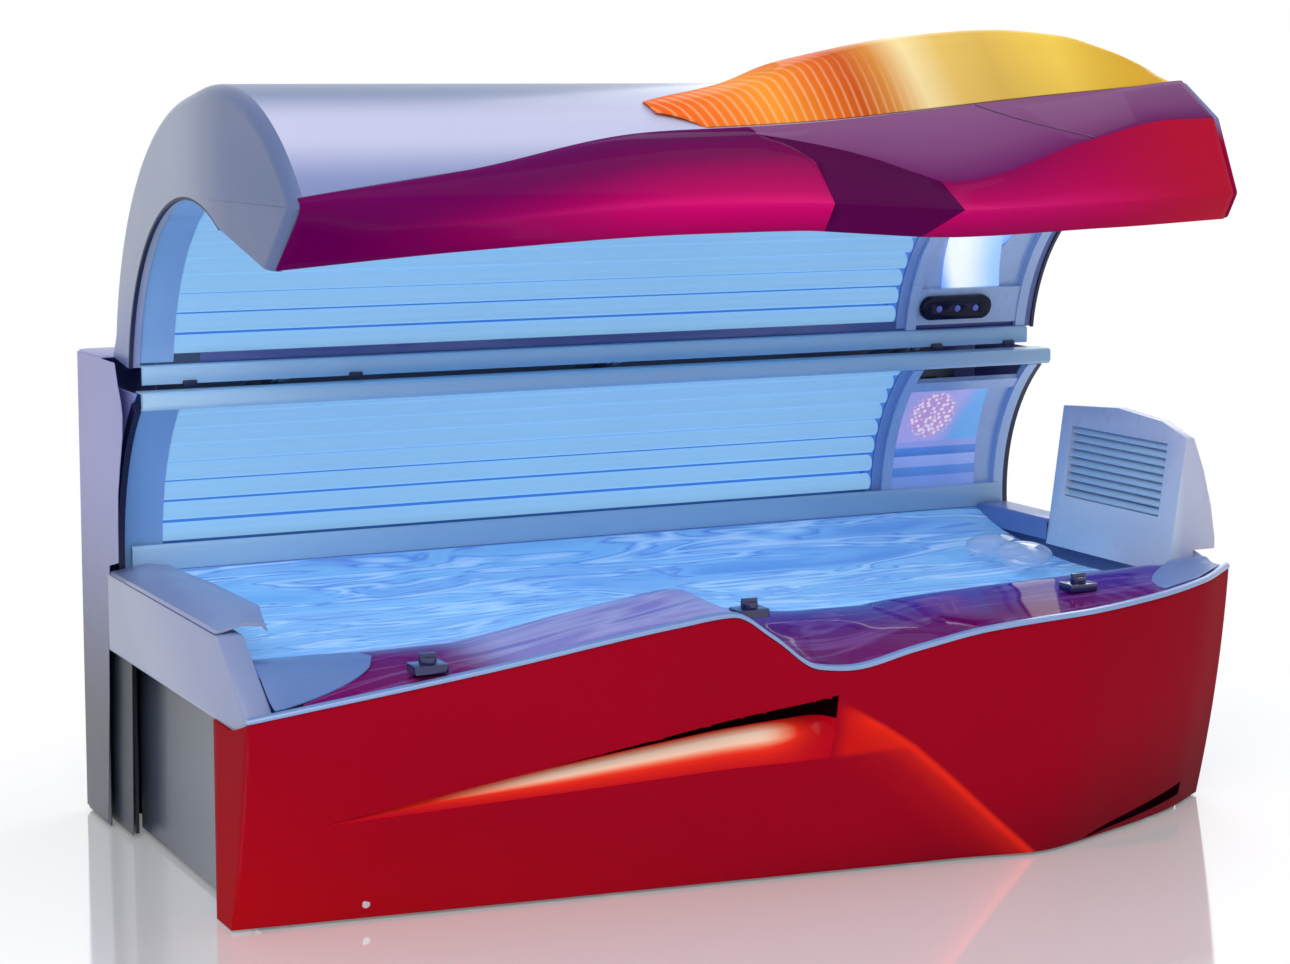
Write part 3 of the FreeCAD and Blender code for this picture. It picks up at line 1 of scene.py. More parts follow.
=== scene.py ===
import bmesh
import bpy
import json
import math
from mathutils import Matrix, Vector


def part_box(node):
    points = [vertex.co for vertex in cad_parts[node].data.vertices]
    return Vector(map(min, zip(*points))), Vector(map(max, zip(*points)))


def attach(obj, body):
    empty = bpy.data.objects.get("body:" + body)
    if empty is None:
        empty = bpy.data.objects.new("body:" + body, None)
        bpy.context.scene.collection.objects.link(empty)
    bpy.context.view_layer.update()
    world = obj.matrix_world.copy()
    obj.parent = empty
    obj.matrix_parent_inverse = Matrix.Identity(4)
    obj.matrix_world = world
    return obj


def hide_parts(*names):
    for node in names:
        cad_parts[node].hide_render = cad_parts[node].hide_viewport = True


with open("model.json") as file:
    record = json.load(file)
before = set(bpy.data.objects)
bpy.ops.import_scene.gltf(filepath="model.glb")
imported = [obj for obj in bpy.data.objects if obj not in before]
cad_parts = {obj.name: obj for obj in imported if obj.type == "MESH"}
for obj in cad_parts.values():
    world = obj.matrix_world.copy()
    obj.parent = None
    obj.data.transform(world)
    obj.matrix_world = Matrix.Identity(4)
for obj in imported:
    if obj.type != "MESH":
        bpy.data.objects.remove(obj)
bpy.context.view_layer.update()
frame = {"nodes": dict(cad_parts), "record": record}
nodes = frame["nodes"]
scene = bpy.context.scene
bodyOf = {member: body for body, members in frame["record"]["behaviour"]["bodies"].items()
          for member in members}
sideways, inward, upward = (1, 0, 0), (0, 1, 0), (0, 0, 1)
print("frame loaded:", len(nodes), "nodes")


def tone(red, green, blue):
    # a screen colour, 0 to 255, as the linear colour the shader wants
    def linear(value):
        value = value / 255.0
        return value / 12.92 if value <= 0.04045 else ((value + 0.055) / 1.055) ** 2.4
    return (linear(red), linear(green), linear(blue), 1.0)


def grey(level):
    return (level, level, level, 1)


# shader nodes

def feed(tree, node, inputs):
    # each input takes a constant or the output of another node
    for label, value in inputs.items():
        if isinstance(value, bpy.types.NodeSocket):
            tree.links.new(value, node.inputs[label])
        else:
            node.inputs[label].default_value = value


def feedShader(tree, inputs):
    feed(tree, tree.nodes["Principled BSDF"], inputs)


def addNode(tree, kind, inputs, **settings):
    node = tree.nodes.new("ShaderNode" + kind)
    for name, value in settings.items():
        setattr(node, name, value)
    feed(tree, node, inputs)
    return node


def calculate(tree, operation, *values):
    return addNode(tree, "Math", dict(enumerate(values)), operation=operation).outputs[0]


def multiply(tree, first, second):
    return calculate(tree, "MULTIPLY", first, second)


def fieldOf(tree, name):
    return addNode(tree, "Attribute", {}, attribute_name=name).outputs["Fac"]


def objectPlace(tree):
    return addNode(tree, "TexCoord", {}).outputs["Object"]


def placeAlong(tree, axis):
    return addNode(tree, "VectorMath", {0: objectPlace(tree), 1: axis},
                   operation="DOT_PRODUCT").outputs["Value"]


def addNoise(tree, scale, detail):
    return addNode(tree, "TexNoise", {"Vector": objectPlace(tree), "Scale": scale,
                                      "Detail": detail}).outputs["Fac"]


def remap(tree, value, low, high, start=0.0, stop=1.0, curve="LINEAR"):
    # low to high becomes start to stop, held at both ends
    return addNode(tree, "MapRange", {"Value": value, "From Min": low, "From Max": high, "To Min": start,
                                      "To Max": stop}, interpolation_type=curve).outputs["Result"]


def stretchPlace(tree, **inputs):
    return addNode(tree, "Mapping", dict(inputs, Vector=objectPlace(tree))).outputs["Vector"]


def findNode(tree, kind):
    return [node for node in tree.nodes if node.type == kind][0]


# shared effects, each a group that several finishes use

def newGroup(name, output, **inputs):
    kinds = {1: "NodeSocketFloat", 3: "NodeSocketVector", 4: "NodeSocketColor"}
    group = bpy.data.node_groups.new(name, "ShaderNodeTree")
    for label, value in inputs.items():
        kind = kinds[len(value) if isinstance(value, tuple) else 1]
        socket = group.interface.new_socket(label, in_out="INPUT", socket_type=kind)
        socket.default_value = value
    group.interface.new_socket(output, in_out="OUTPUT", socket_type=kinds[4 if output == "Color" else 1])
    return group, group.nodes.new("NodeGroupInput").outputs, group.nodes.new("NodeGroupOutput")


def makeToneDrift():
    # slow change of a colour over a moulding, lighter and darker
    group, start, end = newGroup("toneDrift", "Color", Color=grey(0.5), Amount=0.1, Scale=2.0)
    level = remap(group, addNoise(group, start["Scale"], 3), 0.3, 0.7)
    shade = addNode(group, "Mix", {0: level, 6: (0.72, 0.72, 0.76, 1), 7: grey(1.0)}, data_type="RGBA")
    mix = addNode(group, "Mix", {0: start["Amount"], 6: start["Color"], 7: shade.outputs[2]},
                  data_type="RGBA", blend_type="MULTIPLY")
    feed(group, end, {"Color": mix.outputs[2]})
    return group


def makeSmudges():
    # roughness that wanders a little, as handled and wiped surfaces do
    group, start, end = newGroup("smudges", "Roughness", Roughness=0.3, Amount=0.08, Scale=14.0)
    centre = calculate(group, "SUBTRACT", addNoise(group, start["Scale"], 4), 0.5)
    feed(group, end, {"Roughness": calculate(group, "MULTIPLY_ADD", centre, start["Amount"],
                                             start["Roughness"])})
    return group


def makeGrain():
    # height of a fine moulded or sprayed grain
    group, start, end = newGroup("grain", "Height", Scale=900.0)
    feed(group, end, {"Height": addNoise(group, start["Scale"], 2)})
    return group


def makeAxisFade():
    # 0 to 1 along a direction, from one distance to another
    group, start, end = newGroup("axisFade", "Mask", Axis=upward, From=0.0, To=1.0)
    feed(group, end, {"Mask": remap(group, placeAlong(group, start["Axis"]), start["From"], start["To"],
                                    curve="SMOOTHSTEP")})
    return group


def makeFineLines():
    # narrow lines at an even pitch, across a direction
    group, start, end = newGroup("fineLines", "Mask", Axis=upward, Pitch=0.01, Width=0.2)
    count = calculate(group, "DIVIDE", placeAlong(group, start["Axis"]), start["Pitch"])
    away = calculate(group, "PINGPONG", count, 0.5)
    feed(group, end, {"Mask": remap(group, away, 0.0, start["Width"], 1.0, 0.0, "SMOOTHSTEP")})
    return group


toneDrift = makeToneDrift()
smudges = makeSmudges()
grain = makeGrain()
axisFade = makeAxisFade()
fineLines = makeFineLines()


def placeGroup(tree, group, **values):
    # the only output of a shared effect
    return addNode(tree, "Group", values, node_tree=group).outputs[0]


def fadeMask(tree, axis, start, stop):
    return placeGroup(tree, axisFade, Axis=axis, From=start, To=stop)


def mixColor(tree, mask, first, second):
    # first where the mask is 0, second where it is 1; each is a colour or an output
    return addNode(tree, "Mix", {0: mask, 6: first, 7: second}, data_type="RGBA").outputs[2]


def addRamp(tree, factor, stops):
    # each stop is a place with a screen colour, or with one level of grey
    ramp = addNode(tree, "ValToRGB", {"Fac": factor})
    points = ramp.color_ramp.elements
    while len(points) < len(stops):
        points.new(0.5)
    for point, (place, *values) in zip(points, stops):
        point.position = place
        point.color = tone(*values) if len(values) == 3 else grey(*values)
    return ramp.outputs["Color"]


# finishes

grainScale = 700.0
bumpReach = 0.002
finishes = {}


def newTree(name):
    finishes[name] = bpy.data.materials.new(name)
    finishes[name].use_nodes = True
    return finishes[name].node_tree


def finish(name, color, rough, metal=0.0, coat=0.0, drift=0.25, driftScale=1.6, smudge=0.06,
           grainDepth=0.003, specular=0.5, fades=()):
    tree = newTree(name)
    for axis, start, stop, other in fades:
        color = mixColor(tree, fadeMask(tree, axis, start, stop), color, other)
    bump = addNode(tree, "Bump", {"Strength": grainDepth, "Distance": bumpReach,
                                  "Height": placeGroup(tree, grain, Scale=grainScale)})
    feedShader(tree, {
        "Base Color": placeGroup(tree, toneDrift, Color=color, Amount=drift, Scale=driftScale),
        "Roughness": placeGroup(tree, smudges, Roughness=rough, Amount=smudge),
        "Normal": bump.outputs["Normal"], "Metallic": metal, "Coat Weight": coat,
        "Coat Roughness": 0.04, "Specular IOR Level": specular})
    return tree


def paint(tree, shade, glow=0.0):
    # a shade worked out by nodes in place of the plain colour, with a little light of its own
    drift = [node for node in tree.nodes if node.type == "GROUP" and node.node_tree == toneDrift][0]
    feed(tree, drift, {"Color": shade})
    if glow:
        feedShader(tree, {"Emission Color": drift.outputs["Color"], "Emission Strength": glow})


finish("frameAluminium", tone(150, 154, 160), 0.4, metal=0.9, grainDepth=0.08)
finish("footRubber", tone(28, 28, 32), 0.75, grainDepth=0.2)
# painted shade: near-black for the shade inside the intake and the slot
finish("intakeDark", tone(22, 2, 8), 0.6, specular=0.0)
finish("trimSilver", tone(136, 162, 206), 0.3, metal=0.3, coat=0.3)
# side panels: painted light, lighter towards the front
finish("panelGrey", tone(68, 76, 92), 0.34, metal=0.1, coat=0.1, specular=0.3, drift=0.2,
       fades=((inward, 0.34, -0.2, tone(112, 118, 130)),))
finish("bandSilver", tone(150, 160, 198), 0.3, metal=0.05, coat=0.2, specular=0.3)
# head housing: painted light, lighter on its side towards the foot end
finish("hoodSilver", tone(200, 204, 226), 0.28, coat=0.1, specular=0.3,
       fades=((sideways, 1.06, 1.03, tone(214, 226, 240)),))
finish("louvreBlue", tone(200, 226, 246), 0.3, coat=0.2)
finish("lidBlue", tone(112, 140, 196), 0.34, coat=0.15, specular=0.3, drift=0.4, driftScale=3.0)
# posts: painted shade, darker towards the floor
finish("postLavender", tone(150, 152, 208), 0.34, coat=0.1, specular=0.3,
       fades=((upward, 0.80, 0.16, tone(50, 58, 74)),))
finish("slate", tone(44, 52, 66), 0.4, specular=0.3)
finish("rearGrey", tone(150, 152, 166), 0.5, grainDepth=0.1)
finish("railSilver", tone(170, 208, 238), 0.3, coat=0.2, specular=0.3)
# painted light: the aluminium reflectors and the white lamp holders are coloured blue for the lamps' light
# on them
finish("reflector", tone(96, 160, 236), 0.3, metal=0.6, drift=0.1)
finish("holderWhite", tone(110, 160, 240), 0.4, coat=0.2)
finish("coverLilac", tone(138, 186, 232), 0.3, coat=0.2, specular=0.3,
       fades=((sideways, -1.08, -0.93, tone(150, 178, 232)),))
finish("gasketBlack", tone(10, 14, 60), 0.45, grainDepth=0.1)
finish("tannerDark", tone(178, 206, 246), 0.28, coat=0.3, drift=0.5, driftScale=5.0)
finish("dishSilver", tone(215, 224, 245), 0.14, metal=1.0, drift=0.1)
# painted light: the white tub is coloured blue for the lamps' light in it
finish("tubWhite", tone(140, 186, 244), 0.4, coat=0.2)
finish("latchNavy", tone(18, 20, 84), 0.2, coat=0.6)
finish("steel", tone(190, 192, 198), 0.3, metal=1.0, grainDepth=0.05)
finish("ballastSteel", tone(96, 98, 104), 0.5, metal=0.6, grainDepth=0.1)
finish("fanBlack", tone(24, 24, 26), 0.5, grainDepth=0.1)
# painted light: a bright band across the front of the shell, darker above it towards the top
finish("shellSilver", tone(126, 138, 184), 0.3, coat=0.06, specular=0.12, drift=0.1,
       fades=((inward, -0.60, -0.49, tone(196, 198, 226)), (inward, -0.45, -0.31, tone(112, 130, 170)),
              (inward, -0.20, 0.10, tone(128, 136, 186))))
finish("rightCap", tone(158, 0, 62), 0.26, coat=0.06, specular=0.0,
       fades=((inward, -0.325, -0.295, tone(126, 138, 184)),))
# left end cap: painted light and shade, lighter towards the back and a bluer grey towards the bottom
finish("capSilver", tone(92, 108, 150), 0.3, coat=0.1, specular=0.2, drift=0.15,
       fades=((inward, -0.30, 0.10, tone(160, 170, 192)), (upward, 1.24, 1.0, tone(136, 148, 196))))
finish("controlDark", tone(6, 12, 48), 0.22, coat=0.15, specular=0.1)
finish("buttonBlue", tone(90, 110, 210), 0.35, coat=0.3)
finish("skirtNavy", tone(12, 34, 138), 0.3, coat=0.3)


def makeGlow():
    # phosphor of a lit lamp: blue, with a faint mottling along its length
    tree = newTree("lampGlass")
    feedShader(tree, {
        "Base Color": tone(60, 90, 130), "Roughness": placeGroup(tree, smudges, Roughness=0.3),
        "Emission Color": placeGroup(tree, toneDrift, Color=tone(148, 202, 238), Amount=0.25, Scale=1.3),
        "Emission Strength": 0.85})


def makeAmber():
    # ribbed amber moulding: orange at the foot end, yellow over the crown, with a painted highlight and a
    # painted dark reflection in the ramp, paler ribs low down, and a painted glow
    tree = finish("amber", tone(248, 152, 36), 0.24, coat=0.12, specular=0.0, grainDepth=0.0)
    shade = addRamp(tree, fadeMask(tree, (0.97, 0.1, 0.25), 0.0, 1.38), [
        (0.0, 236, 96, 18), (0.10, 250, 150, 44), (0.20, 226, 106, 28), (0.27, 204, 84, 22),
        (0.35, 216, 140, 62), (0.44, 246, 222, 160), (0.54, 230, 192, 100), (0.66, 222, 182, 86),
        (0.84, 248, 210, 86), (1.0, 226, 172, 40)])
    ribs = placeGroup(tree, fineLines, Axis=(0.93, 0.36, 0.0), Pitch=0.0215, Width=0.26)
    low = multiply(tree, ribs, fadeMask(tree, (0.35, 0.9, 0.43), 0.46, 0.30))
    # painted glow: the cover lights up a little, though it is no lamp
    paint(tree, mixColor(tree, multiply(tree, low, 0.26), shade, tone(255, 232, 180)), 0.12)
    feed(tree, findNode(tree, "BUMP"), {"Strength": 0.06, "Height": ribs})


def makeClear(name, color, alpha, edgeAlpha, rough=0.03, coat=1.0):
    # clear sheet: see-through face on, more mirror than window at a low angle
    tree = finish(name, color, rough, coat=coat, drift=0.1, smudge=0.02, grainDepth=0.0)
    facing = addNode(tree, "LayerWeight", {"Blend": 0.35}).outputs["Facing"]
    feedShader(tree, {"Alpha": remap(tree, facing, 0.0, 1.0, alpha, edgeAlpha)})
    return tree


makeGlow()
makeAmber()
makeClear("clearShield", tone(150, 195, 250), 0.06, 0.3)
makeClear("clearPillow", tone(205, 222, 250), 0.3, 0.85)
feedShader(makeClear("burnerGlass", tone(230, 240, 255), 0.5, 0.9),
           {"Emission Color": tone(235, 244, 255), "Emission Strength": 0.8})
print("finishes made:", len(finishes))

slotOf = {
    "railSilver": "rail_blue_silver", "lampGlass": "lamp_glass", "clearShield": "acrylic_clear",
    "clearPillow": "acrylic_clear", "clearBench": "acrylic_clear", "capSilver": "shell_silver",
    "skirtNavy": "gasket_black", "hoodSilver": "band_silver", "louvreBlue": "band_silver",
    "lidBlue": "post_lavender", "rightCap": "shell_silver", "visorMagenta": "visor_magenta",
    "tannerGlass": "burner_glass", "faceGlass": "burner_glass", "scoopRed": "front_red",
}

wearers = {
    "frameAluminium": "base_frame", "footRubber": "levelling_feet",
    "frontRed": "front_panel front_visor", "intakeDark": "intake_scoop",
    "trimSilver": "front_trim_strip", "panelGrey": "side_panels",
    "bandSilver": "end_bands foot_end_cover", "lidBlue": "corner_covers",
    "hoodSilver": "head_housing", "louvreBlue": "head_louvres",
    "postLavender": "rear_cheeks column_cap", "slate": "cheek_strips", "rearGrey": "rear_panel",
    "railSilver": "lower_rail canopy_soffit", "reflector": "back_reflector canopy_reflector",
    "lampGlass": "back_lamps bench_lamps canopy_lamps",
    "holderWhite": "back_lamp_holders bench_lamp_holders canopy_lamp_holders",
    "clearShield": "back_shield bench_acrylic canopy_shield",
    "coverLilac": "back_holder_covers canopy_holder_covers",
    "gasketBlack": "back_edge_gaskets arch_gaskets", "tannerDark": "shoulder_frame facial_frame",
    "dishSilver": "shoulder_reflector facial_reflectors",
    "burnerGlass": "shoulder_burner facial_burners", "tubWhite": "bench_tub",
    "clearPillow": "neck_pillow", "latchNavy": "latch_blocks latch_knob_1 latch_knob_2 latch_knob_3",
    "steel": "hinge_brackets hinge_pins", "ballastSteel": "ballasts canopy_frame",
    "fanBlack": "mains_inlet fan_housing fan_rotor", "shellSilver": "canopy_shell",
    "capSilver": "canopy_end_cap_left", "rightCap": "canopy_end_cap_right", "amber": "amber_cover",
    "controlDark": "control_panel", "buttonBlue": "button_start button_fan button_face",
}
nodeFinish = {node: look for look, members in wearers.items() for node in members.split()}


def slotName(finishName):
    if finishName in slotOf:
        return slotOf[finishName]
    return "".join("_" + letter.lower() if letter.isupper() else letter for letter in finishName)


mergeReach = 0.00002
creaseAngle = 32


def dressNode(name):
    # the finish of a frame piece, with its loose faces joined and its curves shaded smooth
    piece = nodes[name]
    piece.data.materials.clear()
    if nodeFinish[name] in finishes:
        piece.data.materials.append(finishes[nodeFinish[name]])
    piece.data.polygons.foreach_set("use_smooth", [True] * len(piece.data.polygons))
    piece.modifiers.new("joined", "WELD").merge_threshold = mergeReach
    piece.modifiers.new("creases", "EDGE_SPLIT").split_angle = math.radians(creaseAngle)


for name in nodes:
    dressNode(name)
print("frame dressed")


# tools for new pieces

def pick(piece):
    bpy.ops.object.select_all(action="DESELECT")
    if piece:
        piece.select_set(True)
        bpy.context.view_layer.objects.active = piece


def startEdit():
    bpy.ops.object.mode_set(mode="EDIT")
    bpy.ops.mesh.select_all(action="SELECT")


def endEdit():
    bpy.ops.object.mode_set(mode="OBJECT")


def applyModifiers(piece):
    pick(piece)
    for modifier in list(piece.modifiers):
        bpy.ops.object.modifier_apply(modifier=modifier.name)


def smoothPiece(piece, angle=30):
    pick(piece)
    bpy.ops.object.shade_smooth_by_angle(angle=math.radians(angle))


def joinBody(piece, body, finishName, *replaced):
    if not piece.data.materials:
        piece.data.materials.append(finishes[finishName])
    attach(piece, body)
    slotName(finishName)
    if replaced:
        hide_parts(*replaced)


def copyNode(node, name):
    # a frame piece as a new mesh with whole faces, ready to be reshaped
    pick(nodes[node])
    bpy.ops.object.duplicate()
    piece = bpy.context.active_object
    piece.name = name
    piece.modifiers.clear()
    startEdit()
    bpy.ops.mesh.customdata_custom_splitnormals_clear()
    bpy.ops.mesh.remove_doubles(threshold=mergeReach)
    bpy.ops.mesh.dissolve_limited(angle_limit=math.radians(1.0))
    endEdit()
    return piece


def roundEdges(piece, width, segments=2, angle=30):
    bevel = piece.modifiers.new("softEdges", "BEVEL")
    bevel.width = width
    bevel.segments = segments
    bevel.limit_method = "ANGLE"
    bevel.angle_limit = math.radians(angle)
    applyModifiers(piece)
    smoothPiece(piece)


softEdges = {
    "end_bands": 0.004, "foot_end_cover": 0.003, "corner_covers": 0.003, "head_housing": 0.007,
    "rear_cheeks": 0.006, "column_cap": 0.003, "lower_rail": 0.002,
    "canopy_end_cap_right": 0.007, "control_panel": 0.005, "latch_blocks": 0.003,
    "latch_knob_1": 0.0015, "latch_knob_2": 0.0015, "latch_knob_3": 0.0015,
    "button_start": 0.0006, "button_fan": 0.0006, "button_face": 0.0006,
}

for node, width in softEdges.items():
    piece = copyNode(node, node + "_moulded")
    roundEdges(piece, width)
    joinBody(piece, bodyOf[node], nodeFinish[node], node)
print("edges rounded:", len(softEdges))


def clamp(value):
    return min(1.0, max(0.0, value))


def smoothRow(table, x):
    # values between the stations of a table, on curves that never overshoot a station
    places = [row[0] for row in table]
    if x <= places[0]:
        return table[0][1:]
    if x >= places[-1]:
        return table[-1][1:]
    index = max(i for i in range(len(places) - 1) if places[i] <= x)
    low, high = table[index], table[index + 1]
    span = high[0] - low[0]
    share = (x - low[0]) / span
    square, cube = share ** 2, share ** 3
    values = []
    for column in range(1, len(low)):
        rise = (high[column] - low[column]) / span
        slopes = []
        for at in (index, index + 1):
            if 0 < at < len(table) - 1:
                before = (table[at][column] - table[at - 1][column]) / (places[at] - places[at - 1])
                after = (table[at + 1][column] - table[at][column]) / (places[at + 1] - places[at])
                slopes.append(2 * before * after / (before + after) if before * after > 0 else 0.0)
            else:
                slopes.append(rise)
        values.append((2 * cube - 3 * square + 1) * low[column]
                      + (cube - 2 * square + share) * span * slopes[0]
                      + (3 * square - 2 * cube) * high[column]
                      + (cube - square) * span * slopes[1])
    return tuple(values)


def straightRow(table, x):
    for low, high in zip(table, table[1:]):
        if x <= high[0]:
            share = max(0.0, (x - low[0]) / (high[0] - low[0]))
            return tuple(a + (b - a) * share for a, b in zip(low[1:], high[1:]))
    return table[-1][1:]


def blend(a, b, share):
    return a + (b - a) * share


def addShape(name, kind, **settings):
    pick(None)
    getattr(bpy.ops.mesh, "primitive_%s_add" % kind)(**settings)
    piece = bpy.context.active_object
    piece.name = name
    return piece


def newSheet(name, columns, rows, place):
    # a grid laid over a formula: place(u, v) gives the point for shares 0 to 1
    piece = addShape(name, "grid", x_subdivisions=columns, y_subdivisions=rows, size=2.0)
    for vertex in piece.data.vertices:
        vertex.co = place((vertex.co.x + 1) / 2, (vertex.co.y + 1) / 2)
    return piece


def thicken(piece, wall, offset=-1.0):
    solid = piece.modifiers.new("wall", "SOLIDIFY")
    solid.thickness = wall
    solid.offset = offset
    applyModifiers(piece)


def makeThin(name, columns, rows, place, wall, body, finishName, offset=0.0):
    piece = newSheet(name, columns, rows, place)
    thicken(piece, wall, offset)
    joinBody(piece, body, finishName)
    return piece


# front panel: one moulded skin with a folded ridge and the wedge of the air scoop

halfBench = 1.140
offsetX = -0.001
offsetY = 0.030

panelRows = [
    (-1.0, -0.345, -0.462, 0.420), (-0.614, -0.400, -0.530, 0.487), (-0.2895, -0.444, -0.582, 0.549),
    (-0.1886, -0.457, -0.594, 0.562), (-0.114, -0.467, -0.603, 0.512),
    (-0.0351, -0.478, -0.614, 0.449), (0.0263, -0.486, -0.621, 0.442),
    (0.1491, -0.503, -0.636, 0.470), (0.2921, -0.522, -0.650, 0.498),
    (0.4675, -0.544, -0.645, 0.508), (0.6667, -0.478, -0.590, 0.514),
    (0.8421, -0.395, -0.505, 0.521), (0.9737, -0.300, -0.397, 0.526),
]
panelRows = [(place * halfBench + offsetX, low + offsetY, high + offsetY, top)
             for place, low, high, top in panelRows]

frontPanel = {"floorGap": 0.006, "wall": 0.005, "columns": 226, "rows": 54, "bulge": 0.0135,
              "mergeReach": 0.0003, "edgeRound": 0.0012, "ridge": 0.012, "ridgeReach": 0.11,
              "ridgeRound": 0.007, "ridgePower": 1.6, "ridgeStart": 0.09, "creaseSlope": 0.06,
              "returnColumns": 8, "returnDrop": 2.2,
              "leftReturn": (-0.227, 0.390), "rightReturn": (-0.203, 0.404),
              "scoopTip": (-1.000, 0.208), "scoopTop": (0.010, 0.392), "scoopLow": (0.010, 0.262)}

ridgeLine = [(0.018, 0.374), (0.067, 0.345), (0.112, 0.319), (0.187, 0.270), (0.296, 0.181),
             (0.392, 0.098), (0.498, 0.010), (0.530, -0.020)]


def nearRidge(x, z):
    # how far a point is from the ridge, on which side of it, and how far down the ridge
    nearest, side, along, travelled = 1.0, 1.0, 0.0, 0.0
    for (x1, z1), (x2, z2) in zip(ridgeLine, ridgeLine[1:]):
        length = math.hypot(x2 - x1, z2 - z1)
        share = clamp(((x - x1) * (x2 - x1) + (z - z1) * (z2 - z1)) / length ** 2)
        away = math.hypot(x - blend(x1, x2, share), z - blend(z1, z2, share))
        if away < nearest:
            nearest = away
            side = (x2 - x1) * (z - z1) - (z2 - z1) * (x - x1)
            along = travelled + share * length
        travelled += length
    return nearest, side, along


def ridgeHeight(x, z):
    nearest, _, along = nearRidge(x, z)
    away = math.sqrt(nearest ** 2 + frontPanel["ridgeRound"] ** 2)
    rise = max(0.0, 1 - away / frontPanel["ridgeReach"]) ** frontPanel["ridgePower"]
    return frontPanel["ridge"] * rise * min(1.0, along / frontPanel["ridgeStart"])


def panelPoint(x, z):
    low, high, top = smoothRow(panelRows, x)
    share = clamp((z - frontPanel["floorGap"]) / (top - frontPanel["floorGap"]))
    bulge = frontPanel["bulge"] * 4 * share * (1 - share)
    return Vector((x, blend(low, high, share) - bulge - ridgeHeight(x, z), z))


def panelSheetPoint(u, v):
    turn = frontPanel["returnColumns"]
    columns = frontPanel["columns"]
    column = u * columns
    x = blend(panelRows[0][0], panelRows[-1][0], clamp((column - turn) / (columns - 2 * turn)))
    top = smoothRow(panelRows, x)[2]
    back = 0.0
    if column < turn:
        back = 1 - column / turn
        rear, low = frontPanel["leftReturn"]
    elif column > columns - turn:
        back = 1 - (columns - column) / turn
        rear, low = frontPanel["rightReturn"]
    if back > 0.0:
        top = blend(top, low, min(1.0, back * frontPanel["returnDrop"]))
    point = panelPoint(x, blend(frontPanel["floorGap"], top, v))
    if back > 0.0:
        point.y = blend(point.y, rear, back)
    return point


def wedgeSide(x, z, start, end):
    return (end[0] - start[0]) * (z - start[1]) - (end[1] - start[1]) * (x - start[0])


def cutWedge(piece):
    tip, top, low = (frontPanel[key] for key in ("scoopTip", "scoopTop", "scoopLow"))
    startEdit()
    for start, end in ((tip, top), (tip, low), (top, low)):
        bpy.ops.mesh.select_all(action="SELECT")
        bpy.ops.mesh.bisect(plane_co=(start[0], 0, start[1]),
                            plane_no=(-(end[1] - start[1]), 0, end[0] - start[0]))
    endEdit()
    mesh = bmesh.new()
    mesh.from_mesh(piece.data)
    inside = []
    for face in mesh.faces:
        x, _, z = face.calc_center_median()
        if wedgeSide(x, z, tip, top) < 0 < wedgeSide(x, z, tip, low) and x < top[0]:
            inside.append(face)
    bmesh.ops.delete(mesh, geom=inside, context="FACES")
    bmesh.ops.remove_doubles(mesh, verts=mesh.verts, dist=frontPanel["mergeReach"])
    mesh.to_mesh(piece.data)
    mesh.free()


def makeFrontRed():
    # deep red lacquer, with painted highlights along the ridge and at the lower corner of the foot end, and
    # painted shade towards the floor
    tree = finish("frontRed", tone(150, 0, 26), 0.2, drift=0.3, specular=0.0, coat=0.07,
                  grainDepth=0.0)

    def fieldRamp(name, low, high, stops):
        return addRamp(tree, remap(tree, fieldOf(tree, name), low, high), stops)

    # painted highlight: brighter at the lower corner of the foot end
    low = fadeMask(tree, (0.35, 0.0, 1.0), -0.42, 0.05)
    shade = mixColor(tree, low, tone(180, 4, 20), tone(164, 0, 30))
    # painted shade: darker towards the floor
    floorwardShade = fadeMask(tree, (-0.25, 0.0, 1.0), -0.30, 0.12)
    shade = mixColor(tree, floorwardShade, tone(122, 0, 26), shade)
    # painted highlight on one side of the ridge, above the line of the scoop's lower crease
    ridgeRunOutHighlight = multiply(tree, fieldRamp("ridge", -0.012, 0.004, [(0.0, 1.0), (1.0, 0.0)]),
                      fieldRamp("crease", -0.006, 0.006, [(0.0, 0.0), (1.0, 1.0)]))
    ridgeRunOutHighlight = multiply(tree, ridgeRunOutHighlight, fadeMask(tree, sideways, 0.0, 0.05))
    shade = mixColor(tree, ridgeRunOutHighlight, shade, tone(216, 22, 22))
    # painted highlight along the ridge line
    glow = fieldRamp("ridge", -0.10, 0.02, [(0.0, 0.0), (0.45, 0.12), (0.70, 0.42), (0.81, 0.95),
                                            (0.85, 0.7), (0.90, 0.0)])
    glow = multiply(tree, glow, fadeMask(tree, sideways, 0.01, 0.09))
    paint(tree, mixColor(tree, glow, shade, tone(250, 44, 24)))


makeFrontRed()


def addField(piece, name, values):
    field = piece.data.attributes.new(name, "FLOAT", "POINT")
    field.data.foreach_set("value", values)


def makeFrontPanel():
    piece = newSheet("frontPanelSkin", frontPanel["columns"], frontPanel["rows"], panelSheetPoint)
    cutWedge(piece)
    thicken(piece, frontPanel["wall"])
    roundEdges(piece, frontPanel["edgeRound"], 2, 50)
    ridge, crease = [], []
    cornerX, cornerZ = frontPanel["scoopLow"]
    for x, _, z in (vertex.co for vertex in piece.data.vertices):
        nearest, side, _ = nearRidge(x, z)
        ridge.append(nearest if side > 0 else -nearest)
        crease.append(z - cornerZ - frontPanel["creaseSlope"] * (x - cornerX))
    addField(piece, "ridge", ridge)
    addField(piece, "crease", crease)
    joinBody(piece, "base", "frontRed", "front_panel")


makeFrontPanel()
print("front panel made")


# air scoop: a hollow behind the wedge, and the silver strip along the panel's top

